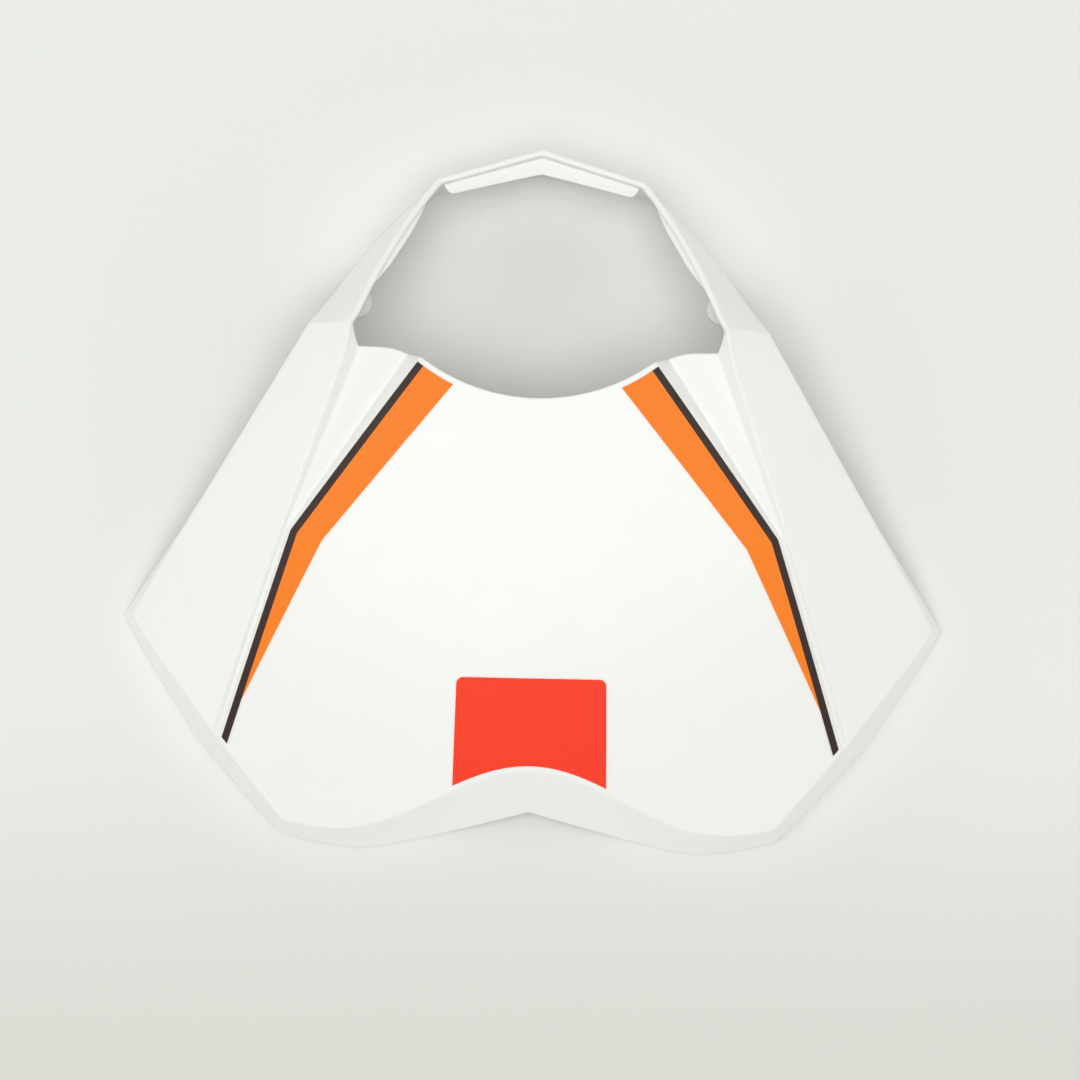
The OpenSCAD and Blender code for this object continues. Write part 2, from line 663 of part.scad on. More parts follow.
// Decal film on the panel: it takes the outer face's own cells, so it lies flush
module film(rows, cols) {
    under = patch_of([for (r = [0 : last_row])
        [for (c = [0 : last_col]) drawn_back(face, r, c, roll_r)]], rows, cols);
    slab(lifted(under, film_t), under);
}
// Line beside the fold of the panel's side edge, at one distance from it and run past its ends
over = 8;
function beside_fold(d) =
    let (m = unit(upper_in + lower_in))
    [peak - upper_dir * over + upper_in * d, knee + m * d / (m * upper_in),
     line_end + lower_dir * over + lower_in * d];
function reversed(list) = [for (i = [len(list) - 1 : -1 : 0]) list[i]];
module line_outline() {
    polygon(concat(beside_fold(line_gap), reversed(beside_fold(line_gap + line_w))));
}
module band_outline() {
    edge = beside_fold(line_gap + line_w);
    low = edge[1] + lower_dir * band_end;
    inner_knee = [band_knee_x, band_knee_y];
    inner_top = [band_top_x, arc_edge(band_top_x / peak_x).y];
    polygon([edge[0], edge[1], low, inner_knee,
             inner_top + unit(inner_top - inner_knee) * over]);
}
module patch_outline() {
    top_x = patch_w / 2;
    low_x = top_x + patch_flare / 2;
    corner = [for (a = [0 : 15 : 90])
        [top_x - patch_r + patch_r * cos(a), patch_y - patch_r + patch_r * sin(a)]];
    polygon(concat([[low_x, lobe_y]], corner,
                   reversed([for (p = corner) [-p.x, p.y]]), [[-low_x, lobe_y]]));
}
module cut_film(rows, cols) {
    place() intersection() {
        film(rows, cols);
        linear_extrude(shoulder_h + film_t) children();
    }
}

module orange_band() {
    color("#fb8126") cut_film([hoop_rows : last_row], [4 : panel_cols]) band_outline();
}
module black_line() {
    color("#2b2422") cut_film([hoop_rows : last_row], [corner_col - 2 : panel_cols]) line_outline();
}
module orange_band_right() {
    orange_band();
}
module orange_band_left() {
    mirror([1, 0, 0]) orange_band();
}
module black_line_right() {
    black_line();
}
module black_line_left() {
    mirror([1, 0, 0]) black_line();
}
module red_patch() {
    color("#f63a2c") cut_film([knee_row : last_row], [-corner_col : corner_col]) patch_outline();
}

cowl_shell();
orange_band_left();
orange_band_right();
black_line_left();
black_line_right();
red_patch();
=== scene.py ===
import logging
import math
from dataclasses import dataclass
from enum import Enum

import bmesh
import bpy
import numpy as np
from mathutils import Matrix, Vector
from mathutils.bvhtree import BVHTree
from mathutils.geometry import delaunay_2d_cdt


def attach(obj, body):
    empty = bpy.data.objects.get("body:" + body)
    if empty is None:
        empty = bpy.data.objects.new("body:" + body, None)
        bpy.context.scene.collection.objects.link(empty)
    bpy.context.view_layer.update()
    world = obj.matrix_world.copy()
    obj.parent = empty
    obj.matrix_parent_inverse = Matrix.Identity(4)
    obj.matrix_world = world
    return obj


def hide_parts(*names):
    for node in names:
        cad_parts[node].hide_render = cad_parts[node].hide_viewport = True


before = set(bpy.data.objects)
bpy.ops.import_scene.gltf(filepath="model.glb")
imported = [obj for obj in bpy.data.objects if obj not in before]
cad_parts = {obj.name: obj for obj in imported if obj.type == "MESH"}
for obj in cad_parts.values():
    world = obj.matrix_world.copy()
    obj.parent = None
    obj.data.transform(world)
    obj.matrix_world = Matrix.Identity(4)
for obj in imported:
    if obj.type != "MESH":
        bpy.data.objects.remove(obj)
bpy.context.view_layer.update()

MM = 0.001
# Below these lengths in millimetres a vector has no direction, two corners are one, an edge goes.
SAME = 1e-9
TOUCH_MM = 1e-6
SLIVER_MM = 0.003
# Sharper edges than this are rounded on the fittings and shaded as edges everywhere.
SHARP_DEG = 40.0
# Largest share of the way to the next line that a fold's support stands off it.
SUPPORT_REACH = 0.42
# Numbers of the mixing node's sockets: its two colours and the mixed one.
COLOUR_A, COLOUR_B = 6, 7
MIXED_COLOUR = 2
# Where most of a noise pattern's values lie.
NOISE_SPAN = (0.3, 0.7)
# The triangulation's choice of triangles inside the outline only.
INSIDE_ONLY = 1
LOG = logging.getLogger("headlight_cowl")

Amount = float | np.ndarray


class Folds(Enum):
    """The two ways in which folds run through a grid of points."""

    ROWS = 0
    COLUMNS = 1


class Join(Enum):
    """The two ways in which solids are joined here, by Blender's names."""

    UNITE = "UNION"
    CUT = "DIFFERENCE"


def mix(a: Amount, b: Amount, share: float) -> Amount:
    """Blend two numbers or points by a share from 0 to 1."""
    return a + (b - a) * share


def unit(vector: np.ndarray) -> np.ndarray:
    """Scale a vector to length one."""
    return vector / np.linalg.norm(vector)


def bump(share: float) -> float:
    """Give a hump that is zero at shares 0 and 1 and one half way."""
    return 4 * share * (1 - share)


def spot(plan: np.ndarray, height: float) -> np.ndarray:
    """Put a plan point at a height."""
    return np.array([plan[0], plan[1], height])


# Sizes are millimetres. Shares, leans, bends, counts and places along the form are plain numbers.
@dataclass(frozen=True)
class NumberPanel:
    """Sizes of the crowned number panel, its scooped edge and its bent side edges."""

    height: float = 54.5
    span: float = 100.0
    rise: float = 12.0
    bow_y: float = 10.0
    bow_x: float = 5.4
    scoop_radius: float = 75.0
    scoop_y: float = 54.2
    peak_x: float = 44.8
    knee: tuple[float, float] = (93.8, 2.1)

    def lift(self, plan: np.ndarray) -> np.ndarray:
        """Put a plan point on the crowned face.

        Args:
            plan: Point whose first two numbers are used.

        Returns:
            The point on the face.
        """
        u, v = plan[0] / self.span, plan[1] / self.span
        return spot(plan, self.height + self.rise * v - self.bow_y * v * v - self.bow_x * u * u)

    def scoop(self, share: float) -> np.ndarray:
        """Give a plan point on the scooped edge.

        Args:
            share: Share of the half width.

        Returns:
            The point.
        """
        x = self.peak_x * share
        return np.array([x, self.scoop_y + self.scoop_radius - math.sqrt(self.scoop_radius ** 2 - x * x)])


@dataclass(frozen=True)
class LowerEdge:
    """Sizes of the panel's lobed lower edge and of the lip below it."""

    middle_y: float = -89.9
    lobe_y: float = -115.0
    corner_rise: float = 2.8
    dip_x: float = 76.0
    corner_x: float = 96.9
    notch_y: float = -108.8
    notch_height: float = 8.0
    notch_x: float = 67.0
    notch_share: float = 0.6
    notch_bend: float = 1.2
    lip_y: float = -125.6
    lip_rise: float = 4.0
    lean: float = 0.33
    groove_at: float = 39.3

    def curve(self, x: float) -> np.ndarray:
        """Give the plan point of the lower edge.

        Args:
            x: Distance from the centre line.

        Returns:
            The point.
        """
        dip = 0.5 + 0.5 * math.cos(math.pi * x / self.dip_x) if x < self.dip_x else 0.0
        past = max(0.0, x - self.dip_x) / (self.corner_x - self.dip_x)
        return np.array([x, self.lobe_y + (self.middle_y - self.lobe_y) * dip
                         + self.corner_rise * past * past])

    def lip(self, x: float) -> np.ndarray:
        """Give the point of the lip's rim.

        Args:
            x: Distance from the centre line.

        Returns:
            The point.
        """
        notch = max(0.0, 1 - x / self.notch_x) ** self.notch_bend
        rise = self.lip_rise * max(0.0, x - self.notch_x) / (self.corner_x - self.notch_x)
        height = self.notch_height * max(0.0, 1 - x / (self.notch_x * self.notch_share))
        return np.array([x, self.lip_y + (self.notch_y - self.lip_y) * notch + rise, height])


@dataclass(frozen=True)
class Wing:
    """Sizes of the wings, from the shoulders out to their tips."""

    shoulder: tuple[float, float, float] = (71.7, 81.7, 62.0)
    top: tuple[float, float, float] = (89.3, 81.7, 43.0)
    tip: tuple[float, float, float] = (159.8, -33.2, 14.0)
    turned_in: float = 8.0
    turned_out: float = 0.8
    crown: float = 0.8
    blunt: float = 1.2
    late_v: float = 0.965
    late_w: float = 0.94
    lean_bend: float = 4.0
    level_bend: float = 3.0


@dataclass(frozen=True)
class SideValley:
    """Sizes of the valley and groove between the panel and the wing."""

    groove_width: float = 3.7
    groove_end_width: float = 5.2
    groove_depth: float = 1.4
    depth: float = 7.0
    step_width: float = 5.1
    step_lead: float = 1.5
    bevel_width: float = 3.0
    ridge_out: float = 1.8
    ridge_lead: float = 11.0
    ridge_sink: float = 1.0
    cut_y: float = 72.8
    nose_share: float = 1 / 3


@dataclass(frozen=True)
class LampHoop:
    """Sizes of the hoop round the lamp."""

    corner: tuple[float, float, float] = (40.6, 140.3, 32.0)
    apex_y: float = 152.9
    apex_height: float = 30.0
    ridge_bow: float = 2.6
    corner_flare: float = 3.0
    corner_tuck: float = 0.8
    foot_bow: float = 4.4
    chin_lean: float = 4.2
    rim_depth: float = 4.0
    foot_fall: float = 0.6
    fall_bend: float = 3.0
    rim_fall: float = 0.5


class CowlForm:
    """The outer face of the right half, as functions of the place along and across it.

    Places v along the face run from 0 at the lamp end to 1 at the lower edge. Places s across it
    run from 0 at the centre line to 1 at the panel's side, and on to the wing's tip. Places g along
    the hoop run from 0 at the shoulder over 1 at its corner to 2 at the apex.
    """

    FIRST_V = 0.04
    KNEE_V = 0.45
    CORNER_S = 11 / 14
    FLANGE_S = 1.5
    TIP_S = 2
    APEX_G = 2

    def __init__(self) -> None:
        """Work out the named points from the sizes."""
        self.panel, self.low, self.wing = NumberPanel(), LowerEdge(), Wing()
        self.valley, self.hoop = SideValley(), LampHoop()
        low, wing, valley, hoop = self.low, self.wing, self.valley, self.hoop
        self.centre_y = (hoop.apex_y + low.lip_y) / 2
        self.peak = self.panel.scoop(1.0)
        self.knee = np.array(self.panel.knee)
        self.foot = low.curve(low.corner_x)
        self.shoulder, self.wing_top, self.wing_tip = (np.array(p) for p in (wing.shoulder, wing.top,
                                                                              wing.tip))
        self.low_dir = unit(self.wing_tip[:2] - self.foot)
        self.low_out = np.array([self.low_dir[1], -self.low_dir[0]])
        wing_dir = unit(self.wing_tip[:2] - self.wing_top[:2])
        self.wing_out = np.array([-wing_dir[1], wing_dir[0]])
        self.tip_out = unit(self.low_out + self.wing_out)
        self.line_end = self.foot + self.low_dir * low.groove_at
        upper = unit(self.knee - self.peak)
        lower = unit(self.line_end - self.knee)
        self.upper_dir, self.lower_dir = upper, lower
        self.upper_in = np.array([upper[1], -upper[0]])
        self.lower_in = np.array([lower[1], -lower[0]])
        lift = self.panel.lift
        # The groove's section is drawn in thirds, at the knee and at the lower edge.
        knee_at = [lift(self.knee - self.lower_in * valley.groove_width * k / 3) for k in range(4)]
        end_at = [lift(self.line_end + self.low_dir * valley.groove_end_width * k / 3) for k in range(4)]
        floor = np.array([0, 0, valley.groove_depth])
        self.ridge_knee, self.ridge_end = knee_at[3], end_at[3]
        self.ridge_nick = self.shoulder + [valley.ridge_out, -valley.ridge_lead, -valley.ridge_sink]
        peak_z = lift(self.peak)[2]
        self.step = (spot(self.peak + [valley.step_width, valley.step_lead], peak_z - valley.depth),
                     knee_at[1] - floor, end_at[1] - floor)
        self.bevel = (np.array([self.shoulder[0] - valley.bevel_width, valley.cut_y,
                                self.shoulder[2] - valley.ridge_sink - valley.depth]),
                      knee_at[2] - floor, end_at[2] - floor)
        self.hoop_corner = np.array(hoop.corner)
        self.hoop_apex = np.array([0, hoop.apex_y, hoop.apex_height])
        self.foot_corner = self.hoop_corner + [hoop.corner_flare, -hoop.corner_tuck, 0]
        self.foot_corner[2] = hoop.rim_depth
        self.foot_apex = np.array([0, hoop.apex_y - hoop.chin_lean, hoop.rim_depth])
        side = unit(self.hoop_corner[:2] - self.shoulder[:2])
        self.hoop_out = np.array([side[1], -side[0], 0])

    def bent(self, first: np.ndarray, knee: np.ndarray, last: np.ndarray, v: float) -> np.ndarray:
        """Give a point on a line that bends at the knee.

        Args:
            first: The line's end at the lamp.
            knee: Where it bends.
            last: Its end at the lower edge.
            v: Place along the face.

        Returns:
            The point.
        """
        if v <= self.KNEE_V:
            return mix(first, knee, v / self.KNEE_V)
        return mix(knee, last, (v - self.KNEE_V) / (1 - self.KNEE_V))

    def panel_point(self, s: float, v: float) -> np.ndarray:
        """Blend a point of the number panel from its four edges.

        Args:
            s: Share of the way from the centre line to the side edge.
            v: Share of the way from the lamp end to the lower edge.

        Returns:
            The point on the crowned face.
        """
        low = self.low
        if s <= self.CORNER_S:
            below = low.curve(low.corner_x * s / self.CORNER_S)
        else:
            below = mix(self.foot, self.line_end, (s - self.CORNER_S) / (1 - self.CORNER_S))
        top_mid = np.array([0, self.panel.scoop_y])
        low_mid = np.array([0, low.middle_y])
        side = self.bent(self.peak, self.knee, self.line_end, v)
        across = mix(mix(top_mid, low_mid, v), side, s)
        down = mix(self.panel.scoop(s), below, v)
        corners = mix(mix(top_mid, self.peak, s), mix(low_mid, self.line_end, s), v)
        return self.panel.lift(across + down - corners)

    def valley_point(self, w: float, v: float) -> np.ndarray:
        """Give a point of the valley's floor.

        Args:
            w: Share of the way from the step's foot to the bevel's.
            v: Place along the face.

        Returns:
            The point.
        """
        top = mix(self.step[0], self.bevel[0], w)
        top[1] = mix(top[1], self.valley.cut_y, min(1.0, w / self.valley.nose_share))
        return self.bent(top, mix(self.step[1], self.bevel[1], w), mix(self.step[2], self.bevel[2], w), v)

    def ridge(self, v: float) -> np.ndarray:
        """Give a point of the ridge between the valley and the wing.

        Args:
            v: Place along the face.

        Returns:
            The point.
        """
        if v <= self.FIRST_V:
            return mix(self.shoulder, self.ridge_nick, v / self.FIRST_V)
        if v <= self.KNEE_V:
            return mix(self.ridge_nick, self.ridge_knee, (v - self.FIRST_V) / (self.KNEE_V - self.FIRST_V))
        return mix(self.ridge_knee, self.ridge_end, (v - self.KNEE_V) / (1 - self.KNEE_V))

    def wing_point(self, w: float, v: float) -> np.ndarray:
        """Give a point of the wing.

        Args:
            w: Share of the way from its ridge to its outer edge.
            v: Place along the face.

        Returns:
            The point.
        """
        wing = self.wing
        point = mix(self.ridge(v), mix(self.wing_top, self.wing_tip, v), w)
        point[2] += wing.crown * bump(w) * bump(v)
        near_tip = max(0.0, (w - wing.late_w) / (1 - wing.late_w)) * max(0.0, (v - wing.late_v)
                                                                      / (1 - wing.late_v))
        point[:2] -= self.tip_out * wing.blunt * near_tip
        return point

    def hoop_point(self, w: float, g: float) -> np.ndarray:
        """Give a point of the hoop's wall.

        Args:
            w: Share of the way from its ridge to its foot.
            g: Place along the hoop.

        Returns:
            The point.
        """
        hoop = self.hoop
        if g > 1:
            ridge = mix(self.hoop_corner, self.hoop_apex, g - 1)
            return mix(ridge, mix(self.foot_corner, self.foot_apex, g - 1), w)
        ridge = mix(self.shoulder, self.hoop_corner, g) + self.hoop_out * hoop.ridge_bow * bump(g)
        foot = mix(self.wing_top, self.foot_corner, g) + self.hoop_out * hoop.foot_bow * bump(g)
        fall = max(0.0, 1 - g / hoop.foot_fall) ** hoop.fall_bend
        foot[2] = hoop.rim_depth + (self.wing_top[2] - hoop.rim_depth) * fall
        return mix(ridge, foot, w)

    def flange_rim(self, edge: np.ndarray) -> np.ndarray:
        """Give the point of the rear rim under a point of the straight lower edges."""
        return spot(edge[:2] + self.low_out * self.low.lean * edge[2], 0.0)

    def low_rim(self, s: float, edge: np.ndarray) -> np.ndarray:
        """Give the point of the rear rim under the lower edge.

        Args:
            s: Place across the face.
            edge: Point of the lower edge above it.

        Returns:
            The point of the rim.
        """
        if s == self.TIP_S:
            reach = self.low.lean * self.wing_tip[2] / (self.tip_out @ self.low_out) - self.wing.blunt
            return spot(self.wing_tip[:2] + self.tip_out * reach, 0.0)
        if abs(s - self.CORNER_S) < SAME:
            return mix(self.low.lip(edge[0]), self.flange_rim(edge), 0.5)
        return self.low.lip(edge[0]) if s < self.CORNER_S else self.flange_rim(edge)

    def outer_rim(self, v: float, edge: np.ndarray) -> np.ndarray:
        """Give the point of the turned-in edge along the wing's upper side.

        Args:
            v: Place along the face.
            edge: Point of the wing's outer edge above it.

        Returns:
            The point of the rim.
        """
        wing = self.wing
        lean = mix(wing.turned_out, self.low.lean * self.wing_tip[2], v ** wing.lean_bend)
        height = (edge[2] - wing.turned_in) * (1 - v ** wing.level_bend)
        return spot(edge[:2] + self.wing_out * lean, height)

    def hoop_rim(self, g: float, edge: np.ndarray) -> np.ndarray:
        """Give the point of the upright rim under the hoop's wall.

        Args:
            g: Place along the hoop.
            edge: Point of the wall's lower edge above it.

        Returns:
            The point of the rim.
        """
        drop = mix(self.wing.turned_in, self.hoop.rim_depth, min(1.0, g / self.hoop.rim_fall))
        return edge - [0, 0, drop]


class Stock:
    """Closed cage of quads that weld where their corners meet, in millimetres."""

    WELD = 1e-3

    def __init__(self) -> None:
        """Start an empty cage."""
        self.points: list[np.ndarray] = []
        self.index: dict[tuple[int, ...], int] = {}
        self.faces: list[tuple[int, ...]] = []

    def corner(self, point: np.ndarray) -> int:
        """Give the index of a corner, adding it if it is new.

        Args:
            point: The corner.

        Returns:
            Its index.
        """
        key = tuple(int(round(value / self.WELD)) for value in point)
        if key not in self.index:
            self.index[key] = len(self.points)
            self.points.append(np.array(point, dtype=float))
        return self.index[key]

    def add(self, grid: np.ndarray, turned: bool = False) -> None:
        """Add a grid of points and its mirror image as quads.

        Args:
            grid: Rows by columns by three, seen from outside with rows down and columns right.
            turned: True where the grid is seen from inside.
        """
        for side in (1, -1):
            flat = [[self.corner(p * [side, 1, 1]) for p in row] for row in grid]
            for r in range(len(flat) - 1):
                for c in range(len(flat[0]) - 1):
                    quad = [flat[r][c], flat[r + 1][c], flat[r + 1][c + 1], flat[r][c + 1]]
                    if len(set(quad)) == 4:
                        self.faces.append(tuple(quad if (side == 1) != turned else quad[::-1]))

    def mesh(self, name: str, centre_y: float) -> bpy.types.Mesh:
        """Turn the cage into a mesh in metres, in the row frame.

        Args:
            name: Name of the mesh.
            centre_y: Shift from the drawing's datum to the row frame.

        Returns:
            The mesh.
        """
        made = bpy.data.meshes.new(name)
        shift = np.array([0, centre_y, 0])
        made.from_pydata([tuple((p - shift) * MM) for p in self.points], [], self.faces)
        made.update()
        return made


def with_supports(grid: np.ndarray, folds: dict[int, float], way: Folds) -> np.ndarray:
    """Add a row of points on each side of the folds, so that subdivision rounds them to size.

    Args:
        grid: Rows by columns by three.
        folds: Distance of the support in millimetres, by the index of the fold.
        way: Whether the folds are rows or columns.

    Returns:
        The grid with its supports.
    """
    lines = grid if way is Folds.ROWS else grid.transpose(1, 0, 2)

    def beside(fold: np.ndarray, other: np.ndarray, distance: float) -> np.ndarray:
        """Give the supports between a fold and the next line, at most near half way.

        Args:
            fold: Points of the fold.
            other: Points of the next line.
            distance: How far the supports stand off the fold.

        Returns:
            Their points.
        """
        gap = np.linalg.norm(other - fold, axis=1, keepdims=True)
        return fold + (other - fold) * np.minimum(distance / np.maximum(gap, SAME), SUPPORT_REACH)

    made = []
    last = len(lines) - 1
    for i, line in enumerate(lines):
        near = folds.get(i % (last + 1), folds.get(i - last - 1))
        if near is not None and i > 0:
            made.append(beside(line, lines[i - 1], near))
        made.append(line)
        if near is not None and i < last:
            made.append(beside(line, lines[i + 1], near))
    made = np.array(made)
    return made if way is Folds.ROWS else made.transpose(1, 0, 2)


@dataclass
class CowlMoulding:
    """The one-piece moulding: face, rolled edges, flanges and wall, with every fold rounded."""

    form: CowlForm
    wall_mm: float = 2.5
    fold_mm: float = 1.1
    ridge_mm: float = 1.6
    edge_mm: float = 2.4
    lamp_edge_mm: float = 0.8
    rim_edge_mm: float = 0.5
    inner_edge_mm: float = 0.6
    seam_mm: float = 1.5
    corner_mm: float = 2.5
    mitre_part: float = 0.8
    mitre_least: float = 0.6
    levels: int = 2
    rows_v: tuple[float, ...] = (0, 0.04, 0.13, 0.24, 0.35, 0.45, 0.55, 0.66, 0.77, 0.88, 1)
    panel_s: tuple[float, ...] = (0, 0.07, 0.14, 0.21, 0.28, 0.35, 0.42, 0.49, 0.56, 0.63, 0.7,
                                  CowlForm.CORNER_S, 0.89, 1)
    valley_w: tuple[float, ...] = (0, 1 / 3, 2 / 3, 1)
    wing_w: tuple[float, ...] = (0, 0.2, 0.4, 0.6, 0.8, 1)
    hoop_g: tuple[float, ...] = (2, 1.66, 1.33, 1, 0.875, 0.75, 0.6, 0.48, 0.38, 0.3, 0.22, 0.14, 0.07, 0)

    def base_grids(self) -> tuple[np.ndarray, np.ndarray, np.ndarray, np.ndarray]:
        """Give the outer face and its flanges before the folds get their supports.

        Returns:
            Grids of the main face, the hoop, the lower flange and the outer flange.
        """
        form = self.form
        main = np.array([
            [form.panel_point(s, v) for s in self.panel_s]
            + [form.valley_point(w, v) for w in self.valley_w]
            + [form.wing_point(w, v) for w in self.wing_w] for v in self.rows_v])
        hoop = np.array([[form.hoop_point(w, g) for w in self.wing_w] for g in self.hoop_g])
        flange = len(self.valley_w) + len(self.wing_w) - 1
        across = list(self.panel_s) + [form.FLANGE_S] * flange + [form.TIP_S]
        low = np.array([main[-1], [form.low_rim(s, e) for s, e in zip(across, main[-1])]])
        edges = [hoop[i][-1] for i in range(len(hoop) - 1)] + [row[-1] for row in main]
        rims = ([form.hoop_rim(g, e) for g, e in zip(self.hoop_g, edges)][:-1]
                + [form.outer_rim(v, row[-1]) for v, row in zip(self.rows_v, main)])
        rims[-1] = low[1][-1]
        return main, hoop, low, np.array([[e, r] for e, r in zip(edges, rims)])

    def sunk(self, grids: tuple[np.ndarray, ...]) -> tuple[np.ndarray, ...]:
        """Give the inner face and flanges, one wall behind the outer ones.

        Args:
            grids: Grids of the main face, the hoop, the lower flange and the outer flange.

        Returns:
            The same grids for the inner side, level with the outer rims.
        """
        def key(point: np.ndarray) -> tuple[int, ...]:
            """Give the key under which one corner's normals meet."""
            return tuple(int(round(value / Stock.WELD)) for value in point)

        found: dict[tuple[int, ...], list[np.ndarray]] = {}
        for grid in grids:
            for r in range(grid.shape[0] - 1):
                for c in range(grid.shape[1] - 1):
                    quad = [grid[r][c], grid[r + 1][c], grid[r + 1][c + 1], grid[r][c + 1]]
                    for i, p in enumerate(quad):
                        normal = np.cross(quad[(i + 1) % 4] - p, quad[i - 1] - p)
                        if np.linalg.norm(normal) > SAME:
                            found.setdefault(key(p), []).append(unit(normal))

        def sink(point: np.ndarray) -> np.ndarray:
            """Move one point of the face behind the wall.

            Args:
                point: Point of the outer face.

            Returns:
                The point of the inner face behind it.
            """
            units = found[key(point)]
            total = sum(units)
            if abs(point[0]) < Stock.WELD:
                total = total * [0, 1, 1]
            normal = unit(total)
            least = min(n @ normal for n in units)
            return point - normal * self.wall_mm / max(self.mitre_least, mix(1, least, self.mitre_part))

        def level(edge: np.ndarray, rim: np.ndarray) -> np.ndarray:
            """Slide the sunk rim along its flange until it is level with the outer one.

            Args:
                edge: Point of the outer edge above the rim.
                rim: Point of the outer rim.

            Returns:
                The point of the inner rim.
            """
            start = sink(edge)
            return start + (rim - edge) * ((rim[2] - start[2]) / (rim[2] - edge[2]))

        main, hoop, low, outer = grids
        inner = [np.array([[sink(p) for p in row] for row in grid]) for grid in (main, hoop)]
        inner.append(np.array([inner[0][-1], [level(e, r) for e, r in zip(*low)]]))
        inner.append(np.array([[sink(e), level(e, r)] for e, r in outer]))
        return tuple(inner)

    def supported(self, grids: tuple[np.ndarray, ...], edge_mm: float) -> tuple[np.ndarray, ...]:
        """Add the supports that round the folds and edges of one skin.

        Args:
            grids: Grids of the main face, the hoop, the lower flange and the outer flange.
            edge_mm: Distance of the supports beside the edge between face and flange.

        Returns:
            The same grids with their supports.
        """
        main, hoop, low, outer = grids
        corner = self.panel_s.index(self.form.CORNER_S)
        step, bevel = len(self.panel_s), len(self.panel_s) + len(self.valley_w) - 1
        ridge = bevel + 1
        columns = {0: self.seam_mm, corner: self.corner_mm, step - 1: self.fold_mm, step: self.fold_mm,
                   bevel: self.fold_mm, ridge: self.ridge_mm}
        wing_columns = {0: self.ridge_mm, -1: edge_mm}
        knee = self.rows_v.index(self.form.KNEE_V)
        rows = {0: self.lamp_edge_mm, knee: self.seam_mm}
        hoop_corner = self.hoop_g.index(1)
        hoop_rows = {0: self.seam_mm, hoop_corner: self.seam_mm, -1: self.lamp_edge_mm}
        shift = len(self.hoop_g) - 1
        outer_rows = {0: self.seam_mm, hoop_corner: self.seam_mm, shift: self.lamp_edge_mm,
                      shift + knee: self.seam_mm, -1: edge_mm}
        made = []
        for grid, across, along in ((main, {**columns, -1: edge_mm}, {**rows, -1: edge_mm}),
                                    (hoop, wing_columns, hoop_rows),
                                    (low, {**columns, -1: edge_mm}, {0: edge_mm}),
                                    (outer, {0: edge_mm}, outer_rows)):
            made.append(with_supports(with_supports(grid, across, Folds.COLUMNS), along, Folds.ROWS))
        main, hoop, low, outer = made
        low = with_supports(low, {-1: self.rim_edge_mm}, Folds.ROWS)
        outer = with_supports(outer, {-1: self.rim_edge_mm}, Folds.COLUMNS)
        return main, hoop, low, outer

    def cage(self) -> Stock:
        """Weld the outer and inner skins, the lamp edge and the rear rim into one closed cage.

        Returns:
            The cage.
        """
        base = self.base_grids()
        outside = self.supported(base, self.edge_mm)
        inside = self.supported(self.sunk(base), self.inner_edge_mm)
        stock = Stock()
        for grid in outside:
            stock.add(grid)
        for grid in inside:
            stock.add(grid, turned=True)

        def lamp_edge(skin: tuple[np.ndarray, ...]) -> np.ndarray:
            """Give the edge round the lamp, from the scoop's middle to the apex.

            Args:
                skin: Grids of one skin.

            Returns:
                Its points.
            """
            main, hoop = skin[0], skin[1]
            ridge = main.shape[1] - hoop.shape[1]
            return np.concatenate([main[0][:ridge + 1], hoop[::-1, 0][1:]])

        def rear_rim(skin: tuple[np.ndarray, ...]) -> np.ndarray:
            """Give the rear rim, from the lip's middle round the tip to the apex."""
            return np.concatenate([skin[2][-1], skin[3][::-1, -1][1:]])

        stock.add(np.array([lamp_edge(outside), lamp_edge(inside)]).transpose(1, 0, 2))
        stock.add(np.array([rear_rim(outside), rear_rim(inside)]))
        return stock

    def build(self) -> bpy.types.Object:
        """Subdivide the cage into the finished moulding.

        Returns:
            The moulding without its rear fittings.
        """
        piece = bpy.data.objects.new("cowl_moulding", self.cage().mesh("cowl_moulding", self.form.centre_y))
        bpy.context.collection.objects.link(piece)
        work = bmesh.new()
        work.from_mesh(piece.data)
        bmesh.ops.remove_doubles(work, verts=work.verts, dist=Stock.WELD * MM)
        bmesh.ops.recalc_face_normals(work, faces=work.faces)
        LOG.info("cage: %d faces, %d open edges", len(work.faces), sum(e.is_boundary for e in work.edges))
        work.to_mesh(piece.data)
        work.free()
        smooth = piece.modifiers.new("smooth", "SUBSURF")
        smooth.levels = smooth.render_levels = self.levels
        return applied(piece)


def joined(base: bpy.types.Object, tools: list[bpy.types.Object], way: Join) -> bpy.types.Object:
    """Unite solids with a base, or cut them out of it, and drop the tools and what slivers arise.

    Args:
        base: Object that is changed.
        tools: Closed objects.
        way: Whether they are united or cut out.

    Returns:
        The base with its new mesh.
    """
    for tool in tools:
        step = base.modifiers.new("join", "BOOLEAN")
        step.operation = way.value
        step.solver = "MANIFOLD"
        step.object = tool
    applied(base)
    for tool in tools:
        bpy.data.objects.remove(tool, do_unlink=True)
    mesh = bmesh.new()
    mesh.from_mesh(base.data)
    bmesh.ops.dissolve_degenerate(mesh, dist=SLIVER_MM * MM, edges=mesh.edges)
    mesh.to_mesh(base.data)
    mesh.free()
    return base


def applied(piece: bpy.types.Object) -> bpy.types.Object:
    """Put an object's modifiers into its mesh.

    Args:
        piece: Object with modifiers.

    Returns:
        The same object with its new mesh.
    """
    bpy.context.view_layer.update()
    seen = piece.evaluated_get(bpy.context.evaluated_depsgraph_get())
    mesh = bpy.data.meshes.new_from_object(seen)
    piece.modifiers.clear()
    piece.data = mesh
    return piece


